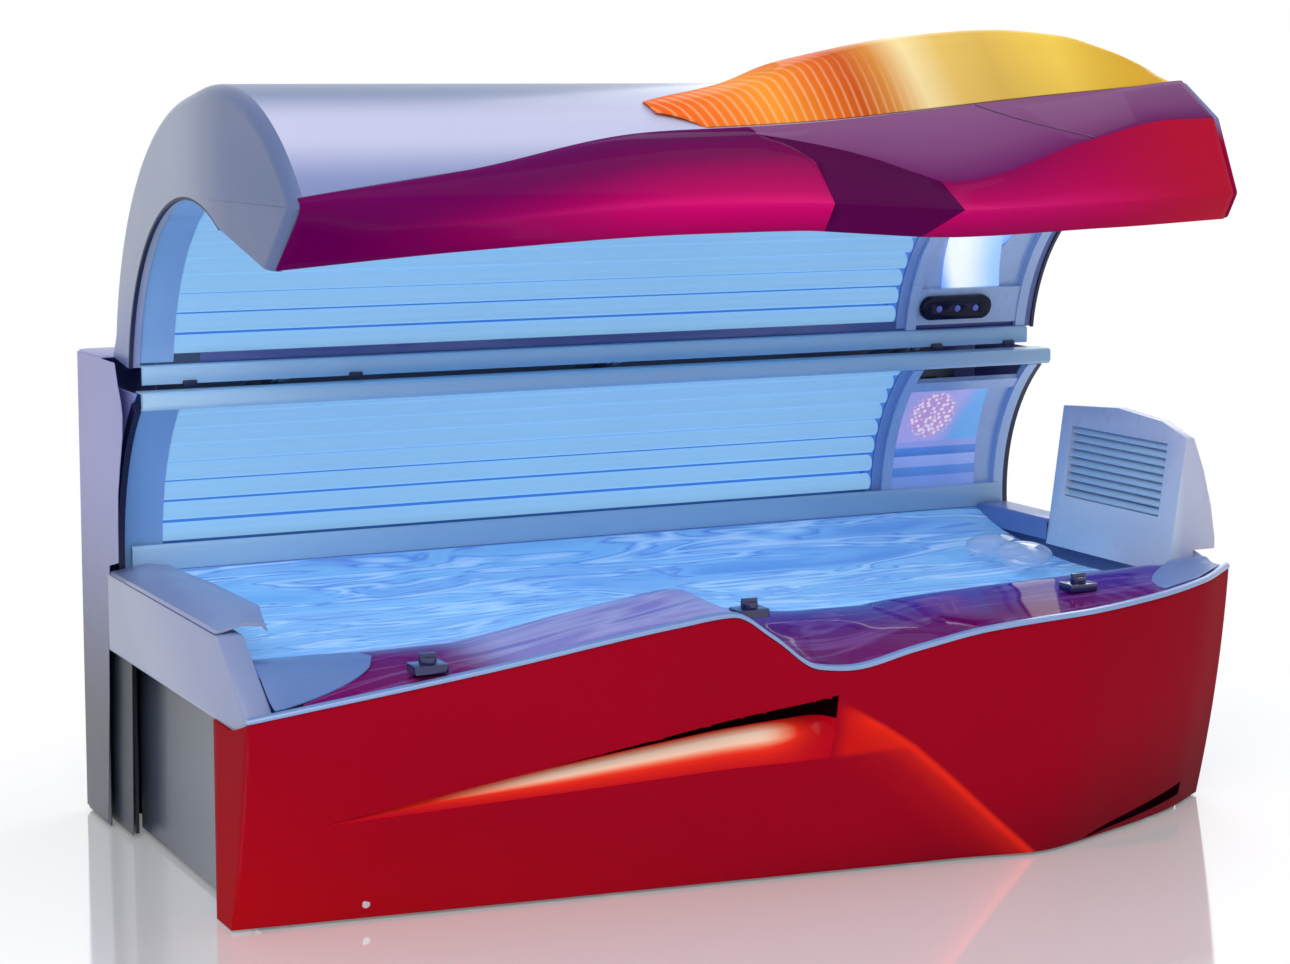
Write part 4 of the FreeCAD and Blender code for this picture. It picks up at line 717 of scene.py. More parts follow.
airScoop = {"columns": 110, "rows": 30, "deepest": 0.060, "slot": 0.046, "slotStart": -0.98,
            "slotPower": 1.75, "endRound": 0.050, "hollow": 0.8, "back": 0.2, "duct": 0.030,
            "depthPower": 0.8, "hollowPower": 1.7, "ductRise": 0.004, "ductGap": 0.002,
            "wall": 0.0025, "lap": 0.0004}


def makeScoopRed():
    # a painted pale streak of reflected light along the scoop's hollow, fading at both ends, and a little
    # painted glow
    tree = finish("scoopRed", tone(176, 10, 22), 0.16, coat=0.08, drift=0.15, specular=0.0,
                  grainDepth=0.0)
    ends = multiply(tree, fadeMask(tree, sideways, -0.98, -0.50), fadeMask(tree, sideways, 0.005, -0.13))
    streak = addRamp(tree, fieldOf(tree, "hollow"), [
        (0.0, 0.05), (0.26, 0.20), (0.46, 0.44), (0.62, 0.92), (0.80, 1), (0.92, 0.7), (1.0, 0.3)])
    shade = addRamp(tree, multiply(tree, ends, streak), [
        (0.0, 178, 4, 26), (0.35, 232, 44, 26), (0.66, 250, 146, 112), (1.0, 255, 222, 196)])
    paint(tree, shade, 0.16)


makeScoopRed()


def scoopPoint(u, v):
    # v runs from the lower crease up the hollow, then back into the duct, which is painted near-black for
    # its shade
    tip, top, low = (frontPanel[key] for key in ("scoopTip", "scoopTop", "scoopLow"))
    x = blend(tip[0], top[0], u)
    zHigh = blend(tip[1], top[1], u)
    opening = max(0.0, (x - airScoop["slotStart"]) / (top[0] - airScoop["slotStart"]))
    slot = airScoop["slot"] * opening ** airScoop["slotPower"]
    ease = math.sqrt(1 - (1 - clamp((top[0] - x) / airScoop["endRound"])) ** 2)
    depth = airScoop["deepest"] * u ** airScoop["depthPower"] * ease
    hollow = min(1.0, v / airScoop["hollow"])
    back = max(0.0, (v - airScoop["hollow"]) / airScoop["back"])
    z = blend(blend(tip[1], low[1], u), zHigh - slot, hollow)
    z = blend(z, zHigh + airScoop["ductRise"], back)
    duct = (airScoop["duct"] * ease + airScoop["ductGap"]) * back
    inset = depth * hollow ** airScoop["hollowPower"] + duct + airScoop["lap"]
    return Vector((x, panelPoint(x, z).y + inset, z))


def makeAirScoop():
    piece = newSheet("airScoop", airScoop["columns"], airScoop["rows"], scoopPoint)
    rows, columns = airScoop["rows"], airScoop["columns"] + 1
    addField(piece, "hollow", [min(1.0, (index // columns) / rows / airScoop["hollow"])
                               for index in range(len(piece.data.vertices))])
    # the duct's faces take the near-black finish, painted shade in the opening
    for finishName in ("scoopRed", "intakeDark"):
        piece.data.materials.append(finishes[finishName])
    for face in piece.data.polygons:
        if min(face.vertices) // columns / rows > airScoop["hollow"] - 0.01:
            face.material_index = 1
    thicken(piece, airScoop["wall"])
    smoothPiece(piece, 40)
    joinBody(piece, "base", "scoopRed", "intake_scoop")


makeAirScoop()
print("air scoop made")

trimColumns = 180
trimRing = [(-0.003, 0.0016), (-0.0035, 0.006), (-0.001, 0.0095), (0.005, 0.0112), (0.011, 0.011),
            (0.011, 0.0016), (-0.003, 0.0016)]


def trimPoint(u, v):
    x = blend(panelRows[0][0], panelRows[-1][0], u)
    _, y, z = smoothRow(panelRows, x)
    outward, rise = trimRing[round(v * (len(trimRing) - 1))]
    return Vector((x, y + outward, z + rise))


def makeTrim():
    piece = newSheet("trimStrip", trimColumns, len(trimRing) - 1, trimPoint)
    startEdit()
    bpy.ops.mesh.remove_doubles(threshold=0.0001)
    bpy.ops.mesh.select_all(action="DESELECT")
    bpy.ops.mesh.select_non_manifold()
    bpy.ops.mesh.edge_face_add()
    bpy.ops.mesh.select_all(action="SELECT")
    bpy.ops.mesh.normals_make_consistent(inside=False)
    endEdit()
    smoothPiece(piece, 50)
    joinBody(piece, "base", "trimSilver", "front_trim_strip")


makeTrim()
print("trim strip made")


# lying surface: one thick clear sheet in soft waves, over a tinted front slope

bench = {"left": -1.031, "right": 1.0147, "wall": 0.008, "columns": 190, "rows": 84, "back": 0.451,
         "top": 0.553, "knee": -0.318, "trimDepth": 0.014, "trimHeight": 0.009, "tuck": 0.005,
         "edgeRound": 0.0015, "slopeBlur": 0.012, "kneeHeight": 0.496, "kneeRise": 0.004,
         "leftCover": (-0.86, 0.17), "rightCover": (0.94, 0.08)}
benchHumps = [(-1.02, 0.0, 0.0), (-0.70, 0.0, 0.004), (-0.33, 0.018, 0.026), (-0.215, 0.020, 0.030),
              (-0.04, 0.010, 0.010), (0.12, 0.0, 0.0), (0.70, 0.0, 0.0), (1.04, 0.006, 0.008)]
slopeEdge = [(-1.05, -0.17), (-0.84, -0.17), (-0.74, -0.165), (-0.62, -0.155), (-0.44, -0.140),
             (-0.28, -0.150), (-0.10, -0.120), (0.0, -0.112), (0.088, -0.135), (0.145, -0.210),
             (0.205, -0.243), (0.36, -0.232), (0.60, -0.165), (0.83, -0.100), (0.96, -0.090),
             (1.03, -0.085)]


def curvePoint(points, share):
    # a smooth curve through the points, at a share of its length
    place = share * (len(points) - 1)
    index = min(int(place), len(points) - 2)
    t = place - index
    before = points[max(0, index - 1)]
    low, high = points[index], points[index + 1]
    after = points[min(len(points) - 1, index + 2)]
    return tuple(0.5 * (2 * b + (c - a) * t + (2 * a - 5 * b + 4 * c - d) * t ** 2
                        + (3 * b - a - 3 * c + d) * t ** 3)
                 for a, b, c, d in zip(before, low, high, after))


def benchPoint(u, v):
    x = blend(bench["left"], bench["right"], u)
    _, y, z = smoothRow(panelRows, x)
    lift, frontLift = smoothRow(benchHumps, x)
    front = y - 0.003 + bench["trimDepth"] + 0.0003
    zFront = z + bench["trimHeight"] - 0.001
    kneeZ = max(zFront, bench["kneeHeight"] + frontLift) + bench["kneeRise"]
    knee = bench["knee"] + offsetY
    rear = bench["top"]
    line = [(bench["back"] + offsetY, rear - 0.002), (0.390, rear - 0.034), (0.230, 0.486 + lift),
            (0.050, 0.474 + lift), (-0.140, 0.480 + lift + frontLift * 0.5), (knee, kneeZ),
            ((knee + front) / 2, (kneeZ + zFront) / 2 + 0.002), (front, zFront)]
    y, z = curvePoint(line, v)
    (left, leftReach), (right, rightReach) = bench["leftCover"], bench["rightCover"]
    underCovers = max(0.0, (left - x) / leftReach) + max(0.0, (x - right) / rightReach)
    return Vector((x, y, z - bench["tuck"] * min(1.0, underCovers)))


def makeClearBench():
    # painted reflections: streaks lighter and darker over the clear sheet; on the front slope a painted
    # gleam along the streaks and lilac stripes of painted reflection between the wings
    tree = makeClear("clearBench", tone(140, 190, 246), 0.42, 0.84, rough=0.05, coat=0.05)
    slope = fieldOf(tree, "slope")
    stretch = stretchPlace(tree, Scale=(0.55, 3.4, 1.0), Rotation=(0, 0, 0.16))
    streaks = addNode(tree, "TexNoise", {"Vector": stretch, "Scale": 3.2, "Detail": 2.0,
                                         "Distortion": 1.1}).outputs["Fac"]
    lit = addRamp(tree, streaks, [
        (0.30, 118, 178, 226), (0.42, 142, 198, 236), (0.455, 96, 138, 212), (0.47, 146, 200, 238),
        (0.50, 196, 222, 244), (0.53, 140, 194, 236), (0.555, 98, 140, 212), (0.57, 136, 190, 234),
        (0.68, 112, 164, 222)])
    near = fadeMask(tree, (0.12, 1.0, 0.0), -0.52, -0.24)
    dark = mixColor(tree, near, tone(118, 0, 96), tone(70, 34, 156))
    gleam = addRamp(tree, streaks, [(0.46, 0), (0.50, 0.32), (0.54, 0)])
    dark = mixColor(tree, gleam, dark, tone(168, 120, 190))
    lilac = addRamp(tree, streaks, [(0.36, 150, 138, 206), (0.50, 184, 178, 226), (0.62, 140, 130, 200)])
    between = multiply(tree, fadeMask(tree, sideways, -0.74, -0.60), fadeMask(tree, sideways, -0.08, -0.16))
    dark = mixColor(tree, between, dark, lilac)
    paint(tree, mixColor(tree, slope, lit, dark))
    level = findNode(tree, "MAP_RANGE").outputs["Result"]
    thick = addNode(tree, "Math", {0: slope, 1: 0.62, 2: level}, operation="MULTIPLY_ADD",
                    use_clamp=True)
    # painted glow: the sheet itself lights up in the streak colours for the lamps beneath, though it is no
    # lamp
    feedShader(tree, {
        "Alpha": thick.outputs[0], "Emission Color": mixColor(tree, slope, lit, tone(30, 0, 24)),
        "Emission Strength": 0.34, "Specular IOR Level": 0.05})


makeClearBench()


def makeBench():
    piece = newSheet("benchSheet", bench["columns"], bench["rows"], lambda u, v: benchPoint(1 - u, v))
    addField(piece, "slope", [
        clamp((smoothRow(slopeEdge, vertex.co.x)[0] - vertex.co.y) / bench["slopeBlur"] + 0.5)
        for vertex in piece.data.vertices])
    thicken(piece, bench["wall"])
    roundEdges(piece, bench["edgeRound"], 2, 60)
    joinBody(piece, "base", "clearBench", "bench_acrylic")


makeBench()
print("lying surface made")


# visor: a long soft nose at the foot end, then folded facets to the head end

halfCanopy = 1.110


def canopyRows(rows):
    return [(row[0] * halfCanopy + offsetX,) + row[1:] for row in rows]


visorRows = canopyRows([
    (-1.0, -0.648, -0.650, 1.347, -0.604, 1.310, -0.524, 1.246),
    (-0.6766, -0.604, -0.664, 1.372, -0.668, 1.332, -0.612, 1.279),
    (-0.3198, -0.526, -0.650, 1.425, -0.706, 1.358, -0.690, 1.302),
    (-0.1261, -0.514, -0.640, 1.432, -0.722, 1.357, -0.708, 1.304),
    (0.027, -0.500, -0.650, 1.420, -0.735, 1.345, -0.722, 1.292),
    (0.1919, -0.474, -0.670, 1.388, -0.738, 1.337, -0.715, 1.284),
    (0.5405, -0.400, -0.565, 1.460, -0.652, 1.341, -0.630, 1.288),
    (0.8108, -0.325, -0.430, 1.498, -0.520, 1.340, -0.495, 1.287),
    (1.0, -0.212, -0.330, 1.500, -0.402, 1.340, -0.368, 1.284),
])
visor = {"left": -1.097, "right": 1.0837, "wall": 0.004, "cut": 0.2, "fold": 0.5, "brow": 0.8,
         "recess": 0.014, "shellY": -0.211, "shellZ": 1.000, "shellRadius": 0.575, "lap": 0.0052,
         "noseColumns": 56, "headColumns": 44, "facetColumns": 10, "edgeRound": 0.0025,
         "mergeReach": 0.0002, "creaseStart": -0.16, "creaseReach": 0.30, "stepReach": 0.25}
noseEnd = [(0.0, -0.146), (0.2, -0.146), (0.36, -0.094), (0.5, -0.070), (0.8, -0.076), (1.0, -0.090)]
facetEnd = [(0.0, -0.146), (0.2, -0.146), (0.5, 0.191), (0.8, 0.202), (1.0, 0.116)]


def shellTop(y):
    return visor["shellZ"] + math.sqrt(visor["shellRadius"] ** 2 - (y - visor["shellY"]) ** 2)


def visorPoint(x, t):
    # t runs down the visor: 0 on the shell, the fold, the brow, and 1 at the lip
    row = smoothRow(visorRows, x)
    up, fold, brow, lip = (row[0], shellTop(row[0]) + visor["lap"]), row[1:3], row[3:5], row[5:7]
    a, b = visor["fold"], visor["brow"]
    if t <= a:
        crisp = [blend(up[i], fold[i], t / a) for i in (0, 1)]
    elif t <= b:
        crisp = [blend(fold[i], brow[i], (t - a) / (b - a)) for i in (0, 1)]
    else:
        crisp = [blend(brow[i], lip[i], (t - b) / (1 - b)) for i in (0, 1)]
    soft = crisp
    if t < b:
        weights = ((t - a) * (t - b) / (a * b), t * (t - b) / (a * (a - b)), t * (t - a) / (b * (b - a)))
        soft = [weights[0] * up[i] + weights[1] * fold[i] + weights[2] * brow[i] for i in (0, 1)]
    crease = clamp((x - visor["creaseStart"]) / visor["creaseReach"])
    y, z = (blend(soft[i], crisp[i], crease) for i in (0, 1))
    return Vector((x, y + offsetY, z))


def makeVisorPaint(name, stops, rough, coat, redder=None):
    tree = finish(name, tone(*stops[0][1:]), rough, coat=coat, drift=0.3, specular=0.0, grainDepth=0.0)
    # tone down the visor by the 'down' field, from the shell to the lip
    shade = addRamp(tree, fieldOf(tree, "down"), stops)
    # darker towards the foot end, and redder towards the head end
    if redder:
        shade = mixColor(tree, fadeMask(tree, (0.9, 0.0, -1.0), -1.62, -2.25), shade, tone(104, 0, 84))
        shade = mixColor(tree, fadeMask(tree, sideways, 0.3, 1.05), shade, redder)
    paint(tree, shade)


# magenta: painted shade high on the nose and a painted highlight at the brow
makeVisorPaint("visorMagenta", [
    (0.0, 104, 20, 108), (0.12, 88, 0, 80), (0.42, 118, 0, 78), (0.72, 186, 0, 94),
    (0.79, 214, 20, 112), (0.84, 204, 0, 106), (1.0, 160, 0, 84)], 0.22, 0.07, tone(206, 2, 52))
# plateau: painted reflection, purple-grey
makeVisorPaint("visorPlateauReflection", [(0.0, 140, 92, 138), (0.3, 130, 72, 124), (0.5, 112, 30, 100)], 0.3, 0.05)
# dark facet: painted shadow
makeVisorPaint("visorShadedFacet", [(0.2, 80, 0, 66), (1.0, 86, 2, 72)], 0.25, 0.05)


def makeVisor():
    cut, fold, brow = visor["cut"], visor["fold"], visor["brow"]
    mesh = bmesh.new()
    down = mesh.verts.layers.float.new("down")

    def addStrip(levels, start, end, columns, kind):
        rows = []
        for t in levels:
            a, b = start(t), end(t)
            row = []
            for step in range(columns + 1):
                vertex = mesh.verts.new(visorPoint(blend(a, b, step / columns), t)
                                        if isinstance(a, float) else a.lerp(b, step / columns))
                vertex[down] = t
                row.append(vertex)
            rows.append(row)
        for upper, lower in zip(rows, rows[1:]):
            for step in range(columns):
                face = mesh.faces.new((lower[step], lower[step + 1], upper[step + 1], upper[step]))
                face.material_index = kind

    def levelsBetween(low, high, count):
        return [blend(low, high, step / count) for step in range(count + 1)]

    def noseEdge(t):
        return straightRow(noseEnd, t)[0]

    def facetEdge(t):
        return straightRow(facetEnd, t)[0]

    def behindNose(t):
        point = visorPoint(noseEdge(t), t)
        depth = clamp((t - cut) / visor["stepReach"]) * min(1.0, 0.15 + (1 - t) / 0.2)
        point.y += visor["recess"] * depth
        return point

    upper = levelsBetween(0.0, cut, 3) + levelsBetween(cut, fold, 6)[1:]
    lower = levelsBetween(fold, brow, 6)
    lip = levelsBetween(brow, 1.0, 3)
    facetLevels = levelsBetween(cut, fold, 6) + lower[1:] + lip[1:]
    addStrip(upper + lower[1:] + lip[1:], lambda t: visor["left"], noseEdge, visor["noseColumns"], 0)
    for levels, kind in ((upper, 1), (lower, 0), (lip, 0)):
        addStrip(levels, facetEdge, lambda t: visor["right"], visor["headColumns"], kind)
    addStrip(facetLevels, behindNose, lambda t: visorPoint(facetEdge(t), t), visor["facetColumns"], 2)
    addStrip(facetLevels, lambda t: visorPoint(noseEdge(t), t), behindNose, 1, 2)
    bmesh.ops.remove_doubles(mesh, verts=mesh.verts, dist=visor["mergeReach"])
    data = bpy.data.meshes.new("visorSkin")
    mesh.to_mesh(data)
    mesh.free()
    piece = bpy.data.objects.new("visorSkin", data)
    scene.collection.objects.link(piece)
    for finishName in ("visorMagenta", "visorPlateauReflection", "visorShadedFacet"):
        data.materials.append(finishes[finishName])
    thicken(piece, visor["wall"])
    roundEdges(piece, visor["edgeRound"], 2, 14)
    joinBody(piece, "canopy", "visorMagenta", "front_visor")


makeVisor()
print("visor made")


# thin seam across the upper facet of the visor

visorSeam = {"startX": 0.412, "endX": 0.627, "startDown": 0.01, "endDown": 0.49, "width": 0.0022,
             "proud": 0.0006, "wall": 0.0008}


def makeSeam():
    def place(u, v):
        x = blend(visorSeam["startX"], visorSeam["endX"], u) + visorSeam["width"] * (v - 0.5)
        point = visorPoint(x, blend(visorSeam["startDown"], visorSeam["endDown"], u))
        return point + Vector((0, -visorSeam["proud"], visorSeam["proud"]))

    makeThin("visorSeam", 30, 1, place, visorSeam["wall"], "canopy", "gasketBlack")


makeSeam()


# amber cover: a pointed tip at the foot end

amberCover = {"tip": (-0.3261, -0.437), "corner": (-0.209, -0.490), "edge": 0.0034, "wall": 0.003,
              "columns": 96, "rows": 26, "frontLap": 0.008}
amberRows = canopyRows([
    (-0.2883, -0.470, 0.010, -0.415), (-0.1153, -0.440, 0.034, -0.320),
    (0.0306, -0.405, 0.076, -0.200), (0.2676, -0.360, 0.112, -0.130), (0.4712, -0.330, 0.121, -0.110),
    (0.6243, -0.315, 0.109, -0.110), (0.7459, -0.285, 0.078, -0.105), (0.8676, -0.235, 0.038, -0.095),
    (0.9324, -0.195, 0.012, -0.100),
])


def amberPoint(u, v):
    x = blend(amberRows[0][0], amberRows[-1][0], u)
    yRidge, rise, yBack = smoothRow(amberRows, x)
    yFront = smoothRow(visorRows, x)[0] + amberCover["frontLap"]
    edge = amberCover["edge"]
    line = [(y, shellTop(y) + edge + (rise - edge) * share)
            for y, share in ((yBack, 0), ((yBack + yRidge) / 2 + 0.008, 0.62), (yRidge, 1),
                             ((yFront + yRidge) / 2 - 0.003, 0.66), (yFront, 0))]
    y, z = curvePoint(line, 1 - v)
    return Vector((x, y + offsetY, max(z, shellTop(y) + edge)))


def makeAmberPiece():
    piece = newSheet("amberDome", amberCover["columns"], amberCover["rows"], amberPoint)
    thicken(piece, amberCover["wall"])
    (x1, y1), (x2, y2) = amberCover["tip"], amberCover["corner"]
    startEdit()
    bpy.ops.mesh.normals_make_consistent(inside=False)
    bpy.ops.mesh.bisect(plane_co=(x1, y1, 1.5), plane_no=(y1 - y2, x2 - x1, 0), clear_inner=True,
                        use_fill=True)
    endEdit()
    smoothPiece(piece, 40)
    joinBody(piece, "canopy", "amber", "amber_cover")


makeAmberPiece()
print("amber cover made")


# left end cap of the canopy: its rim rolls over onto the shell

leftCap = {"face": -1.111, "rim": 0.024, "archY": -0.015, "archZ": 0.938, "archRadius": 0.422,
           "archClear": 0.04, "rimLow": 1.02, "rimTurn": 0.8}


def makeLeftCap():
    piece = copyNode("canopy_end_cap_left", "canopyCapLeft")
    mesh = bmesh.new()
    mesh.from_mesh(piece.data)
    clear = leftCap["archRadius"] + leftCap["archClear"]

    def outside(vertex):
        away = math.hypot(vertex.co.y - leftCap["archY"], vertex.co.z - leftCap["archZ"])
        return away > clear and vertex.co.z > leftCap["rimLow"]

    rim = [edge for edge in mesh.edges
           if all(v.co.x < leftCap["face"] + 0.001 and outside(v) for v in edge.verts)
           and len(edge.link_faces) == 2 and edge.calc_face_angle(0) > leftCap["rimTurn"]]
    bmesh.ops.bevel(mesh, geom=rim, offset=leftCap["rim"], segments=8, profile=0.5, affect="EDGES",
                    clamp_overlap=False)
    mesh.to_mesh(piece.data)
    mesh.free()
    smoothPiece(piece, 40)
    joinBody(piece, "canopy", "capSilver", "canopy_end_cap_left")


makeLeftCap()
print("end cap made")


# lamp tunnel: navy skirt under the lowest canopy lamps and four small clips on the bar

skirt = {"left": -0.955, "right": 1.080, "low": 0.997, "high": 1.018, "away": 0.431, "wall": 0.002}


def skirtPoint(u, v):
    z = blend(skirt["low"], skirt["high"], v)
    y = leftCap["archY"] + math.sqrt(skirt["away"] ** 2 - (z - leftCap["archZ"]) ** 2)
    return Vector((blend(skirt["left"], skirt["right"], u), y, z))


makeThin("lampSkirt", 24, 3, skirtPoint, skirt["wall"], "canopy", "skirtNavy")

barClip = {"places": (-0.985, -0.620, 0.830, 1.030), "front": 0.3865, "middle": 0.958,
           "length": 0.030, "depth": 0.007, "height": 0.012, "edgeRound": 0.002}


def makeClips():
    for number, x in enumerate(barClip["places"], 1):
        piece = addShape("barClip%d" % number, "cube", size=1.0)
        startEdit()
        bpy.ops.transform.resize(value=(barClip["length"], barClip["depth"], barClip["height"]))
        bpy.ops.transform.translate(value=(x, barClip["front"], barClip["middle"]))
        bpy.ops.mesh.bevel(offset=barClip["edgeRound"], segments=2)
        endEdit()
        smoothPiece(piece)
        joinBody(piece, "canopy", "gasketBlack")


makeClips()
print("skirt and clips made")


# glasses in front of the high-pressure lamps: a honeycomb at the shoulder, plain at the face

shoulderGlass = {"leftLow": 0.778, "leftHigh": 0.778, "rightLow": 1.020, "rightHigh": 1.000,
                 "low": -3.0, "high": 39.5, "centreY": 0.082, "centreZ": 0.590, "away": 0.4285,
                 "wall": 0.0015, "spot": (0.866, 0.462, 0.788)}
faceGlass = {"leftLow": 0.842, "leftHigh": 0.792, "rightLow": 1.004, "rightHigh": 0.930, "low": 19.0,
             "high": 56.0, "centreY": -0.015, "centreZ": 0.938, "away": 0.4285, "wall": 0.0015}


def makeTannerGlass():
    tree = finish("tannerGlass", tone(182, 180, 226), 0.15, coat=0.2, specular=0.2, drift=0.4,
                  driftScale=9.0, grainDepth=0.0)
    cells = addNode(tree, "TexVoronoi", {"Vector": stretchPlace(tree, Rotation=(0.9, 0.5, 0.3)),
                                         "Scale": 88.0, "Randomness": 0.55})
    dots = addRamp(tree, cells.outputs["Distance"], [
        (0.0, 255, 255, 255), (0.28, 255, 236, 236), (0.5, 196, 158, 206)])
    away = addNode(tree, "VectorMath", {0: objectPlace(tree), 1: shoulderGlass["spot"]},
                   operation="DISTANCE")
    inside = remap(tree, away.outputs["Value"], 0.072, 0.050, curve="SMOOTHSTEP")
    side = fadeMask(tree, (0.9, 0.0, -0.35), 0.545, 0.60)
    plain = mixColor(tree, side, tone(172, 168, 222), tone(112, 172, 228))
    bars = addRamp(tree, fadeMask(tree, upward, 0.600, 0.735), [
        (0.0, 120, 150, 214), (0.14, 124, 152, 214), (0.16, 86, 130, 200), (0.36, 92, 140, 208),
        (0.38, 142, 164, 222), (0.66, 150, 172, 226), (0.68, 78, 122, 196), (0.86, 90, 140, 210),
        (0.88, 150, 160, 220)])
    plain = mixColor(tree, fadeMask(tree, upward, 0.717, 0.721), bars, plain)
    paint(tree, mixColor(tree, inside, plain, dots), 0.5)


def makeFaceGlass():
    tree = finish("faceGlass", tone(236, 242, 250), 0.15, coat=0.2, specular=0.2, drift=0.3,
                  driftScale=7.0, grainDepth=0.0)
    side = fadeMask(tree, (0.95, 0.0, 0.3), 1.17, 1.28)
    shade = mixColor(tree, side, tone(240, 244, 250), tone(150, 196, 240))
    low = fadeMask(tree, (0.9, 0.0, 0.5), 1.30, 1.345)
    paint(tree, mixColor(tree, low, tone(120, 170, 232), shade), 0.62)


makeTannerGlass()
makeFaceGlass()


def makeGlass(name, glass, body, finishName):
    def place(u, v):
        turn = math.radians(blend(glass["low"], glass["high"], v))
        left = blend(glass["leftLow"], glass["leftHigh"], v)
        right = blend(glass["rightLow"], glass["rightHigh"], v)
        return Vector((blend(left, right, u), glass["centreY"] + glass["away"] * math.cos(turn),
                       glass["centreZ"] + glass["away"] * math.sin(turn)))

    smoothPiece(makeThin(name, 20, 20, place, glass["wall"], body, finishName), 40)


makeGlass("shoulderPane", shoulderGlass, "base", "tannerGlass")
makeGlass("facePane", faceGlass, "canopy", "faceGlass")
print("lamp glasses made")


# small things on the base: lock, a near-black sheet painting the shade of a slot by the floor, side plate
# and strip cover of the left post

panelLock = {"x": -0.890, "z": 0.036, "radius": 0.008, "wall": 0.004, "edgeRound": 0.001}
floorSlot = {"left": 0.660, "right": 0.995, "low": 0.010, "lift": 0.024, "thin": 0.001, "wide": 0.028,
             "proud": 0.0006, "wall": 0.0008}
postSide = {"face": 1.1365, "wall": 0.0012, "low": 0.012, "high": 1.004, "back": 0.698}
postFront = [(0.012, 0.530), (0.28, 0.503), (0.50, 0.492), (0.574, 0.480), (0.586, 0.412),
             (0.657, 0.411), (0.729, 0.406), (0.790, 0.388), (0.852, 0.366), (0.900, 0.362),
             (0.930, 0.372), (0.960, 0.392), (1.004, 0.412)]
stripCover = {"face": 1.1200, "wall": 0.0015, "low": 0.012, "high": 0.500, "front": 0.378,
              "back": 0.560, "lean": 0.02}


def makeLock():
    centre = panelPoint(panelLock["x"], panelLock["z"])
    piece = addShape("panelLock", "cylinder", vertices=32, radius=panelLock["radius"],
                     depth=panelLock["wall"])
    startEdit()
    bpy.ops.transform.rotate(value=math.pi / 2, orient_axis="X", center_override=(0, 0, 0))
    bpy.ops.transform.translate(value=centre)
    endEdit()
    roundEdges(piece, panelLock["edgeRound"], 2, 50)
    joinBody(piece, "base", "steel")


def makeFloorSlot():
    # a thin near-black sheet just proud of the panel, painted shade where the slot is
    def place(u, v):
        x = blend(floorSlot["left"], floorSlot["right"], u)
        low = floorSlot["low"] + floorSlot["lift"] * u
        z = blend(low, low + blend(floorSlot["thin"], floorSlot["wide"], u ** 0.7), v)
        point = panelPoint(x, z)
        point.y -= floorSlot["proud"]
        return point

    makeThin("floorSlot", 30, 4, place, floorSlot["wall"], "base", "intakeDark")


def makePostSide():
    def postPlace(u, v):
        z = blend(postSide["low"], postSide["high"], v)
        front = straightRow(postFront, z)[0]
        return Vector((-postSide["face"], blend(postSide["back"], front, u), z))

    def stripPlace(u, v):
        z = blend(stripCover["low"], stripCover["high"], v)
        front = stripCover["front"] + stripCover["lean"] * (1 - v)
        return Vector((-stripCover["face"], blend(stripCover["back"], front, u), z))

    makeThin("postSide", 6, 124, postPlace, postSide["wall"], "base", "postLavender", 1.0)
    makeThin("stripCover", 2, 6, stripPlace, stripCover["wall"], "base", "slate", 1.0)


makeLock()
makeFloorSlot()
makePostSide()
print("small base pieces made")


# neck pillow: clear moulding with two lobes and a waist

pillow = {"waist": 0.24, "waistReach": 0.32, "endPower": 3.2, "columns": 40, "around": 32,
          "mergeReach": 0.0002}


def makePillow():
    low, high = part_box("neck_pillow")
    centre = (Vector(low) + Vector(high)) / 2
    reach = (Vector(high) - Vector(low)) / 2

    def place(u, v):
        along = 2 * u - 1
        swell = math.sqrt(max(0.0, 1 - abs(along) ** pillow["endPower"]))
        swell *= 1 - pillow["waist"] * math.exp(-(along / pillow["waistReach"]) ** 2)
        turn = 2 * math.pi * v
        return Vector((centre.x + reach.x * swell * math.cos(turn), centre.y + reach.y * along,
                       centre.z + reach.z * swell * math.sin(turn)))

    piece = newSheet("neckRest", pillow["columns"], pillow["around"], place)
    startEdit()
    bpy.ops.mesh.remove_doubles(threshold=pillow["mergeReach"])
    bpy.ops.mesh.normals_make_consistent(inside=False)
    endEdit()
    smoothPiece(piece, 60)
    joinBody(piece, "base", "clearPillow", "neck_pillow")


makePillow()
print("neck pillow made")


# room, light and camera

room = {"floorSize": 60.0, "reflectReach": (1.9, 1.35), "fadeStart": 0.92, "fadeEnd": 1.25}


def seenRay(tree):
    # 1 for rays that come from the camera, a mirror or glass
    path = addNode(tree, "LightPath", {}).outputs
    first = calculate(tree, "MAXIMUM", path["Is Camera Ray"], path["Is Glossy Ray"])
    return calculate(tree, "MAXIMUM", first, path["Is Transmission Ray"])


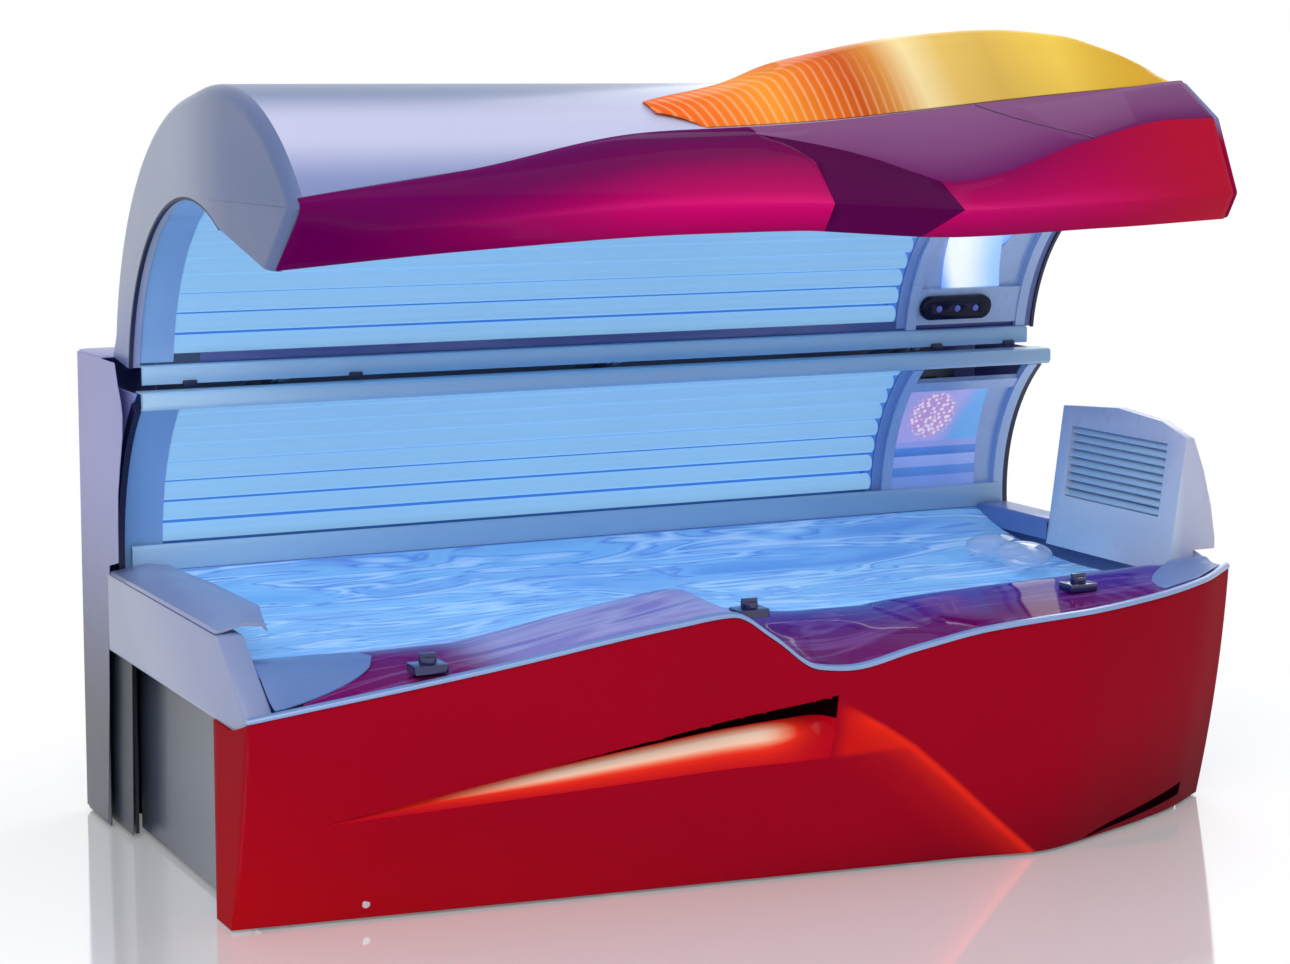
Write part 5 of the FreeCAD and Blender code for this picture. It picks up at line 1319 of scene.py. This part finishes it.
def makeFloor():
    floor = addShape("floor", "plane", size=room["floorSize"], location=(0, 0, 0))
    tree = newTree("paleFloor")
    seen = seenRay(tree)
    feedShader(tree, {
        "Base Color": (0.88, 0.88, 0.89, 1), "Roughness": 0.07, "IOR": 3.0, "Specular IOR Level": 1.0,
        "Emission Color": grey(1), "Emission Strength": multiply(tree, seen, 0.16)})
    reachX, reachY = room["reflectReach"]
    away = addNode(tree, "VectorMath", {0: stretchPlace(tree, Scale=(1 / reachX, 1 / reachY, 1))},
                   operation="LENGTH")
    fade = remap(tree, away.outputs["Value"], room["fadeStart"], room["fadeEnd"])
    mix = addNode(tree, "MixShader", {
        0: multiply(tree, fade, seen),
        1: tree.nodes["Principled BSDF"].outputs[0], 2: addNode(tree, "Emission", {}).outputs[0]})
    feed(tree, tree.nodes["Material Output"], {"Surface": mix.outputs[0]})
    floor.data.materials.append(finishes["paleFloor"])


def makeWorld():
    world = bpy.data.worlds.new("studio")
    scene.world = world
    world.use_nodes = True
    tree = world.node_tree
    background = tree.nodes["Background"]
    feed(tree, background, {"Color": (0.80, 0.84, 0.95, 1), "Strength": 0.42})
    white = addNode(tree, "Background", {"Color": grey(1), "Strength": 1.0})
    mix = addNode(tree, "MixShader", {0: seenRay(tree), 1: background.outputs[0], 2: white.outputs[0]})
    feed(tree, tree.nodes["World Output"], {"Surface": mix.outputs[0]})


def addSoftBox(name, place, aim, width, height, power):
    data = bpy.data.lights.new(name, "AREA")
    data.shape = "RECTANGLE"
    data.size = width
    data.size_y = height
    data.energy = power
    lamp = bpy.data.objects.new(name, data)
    scene.collection.objects.link(lamp)
    lamp.location = place
    lamp.rotation_euler = (Vector(aim) - Vector(place)).to_track_quat("-Z", "Y").to_euler()


view = {"place": (-2.7315, -5.281, 1.5923), "turn": 0.4584, "pitch": 0.1146, "focal": 2845.0,
        "imageWidth": 1290.0, "sensor": 36.0, "lift": 80.0}


def makeCamera():
    data = bpy.data.cameras.new("view")
    data.sensor_width = view["sensor"]
    data.sensor_fit = "HORIZONTAL"
    data.lens = view["focal"] / view["imageWidth"] * view["sensor"]
    data.shift_y = -view["lift"] / view["imageWidth"]
    camera = bpy.data.objects.new("view", data)
    scene.collection.objects.link(camera)
    camera.location = view["place"]
    camera.rotation_euler = (math.pi / 2 - view["pitch"], 0, -view["turn"])
    scene.camera = camera


makeFloor()
makeWorld()
addSoftBox("keyLight", (-3.5, -4.5, 4.5), (0, -0.2, 0.8), 4.0, 3.0, 200)
addSoftBox("topLight", (0.5, -1.0, 5.0), (0, 0, 1.0), 5.0, 3.0, 50)
addSoftBox("rearLight", (3.0, 3.0, 3.5), (0, 0, 1.0), 3.0, 3.0, 70)
makeCamera()
scene.view_settings.view_transform = "Standard"
print("room, light and camera set")
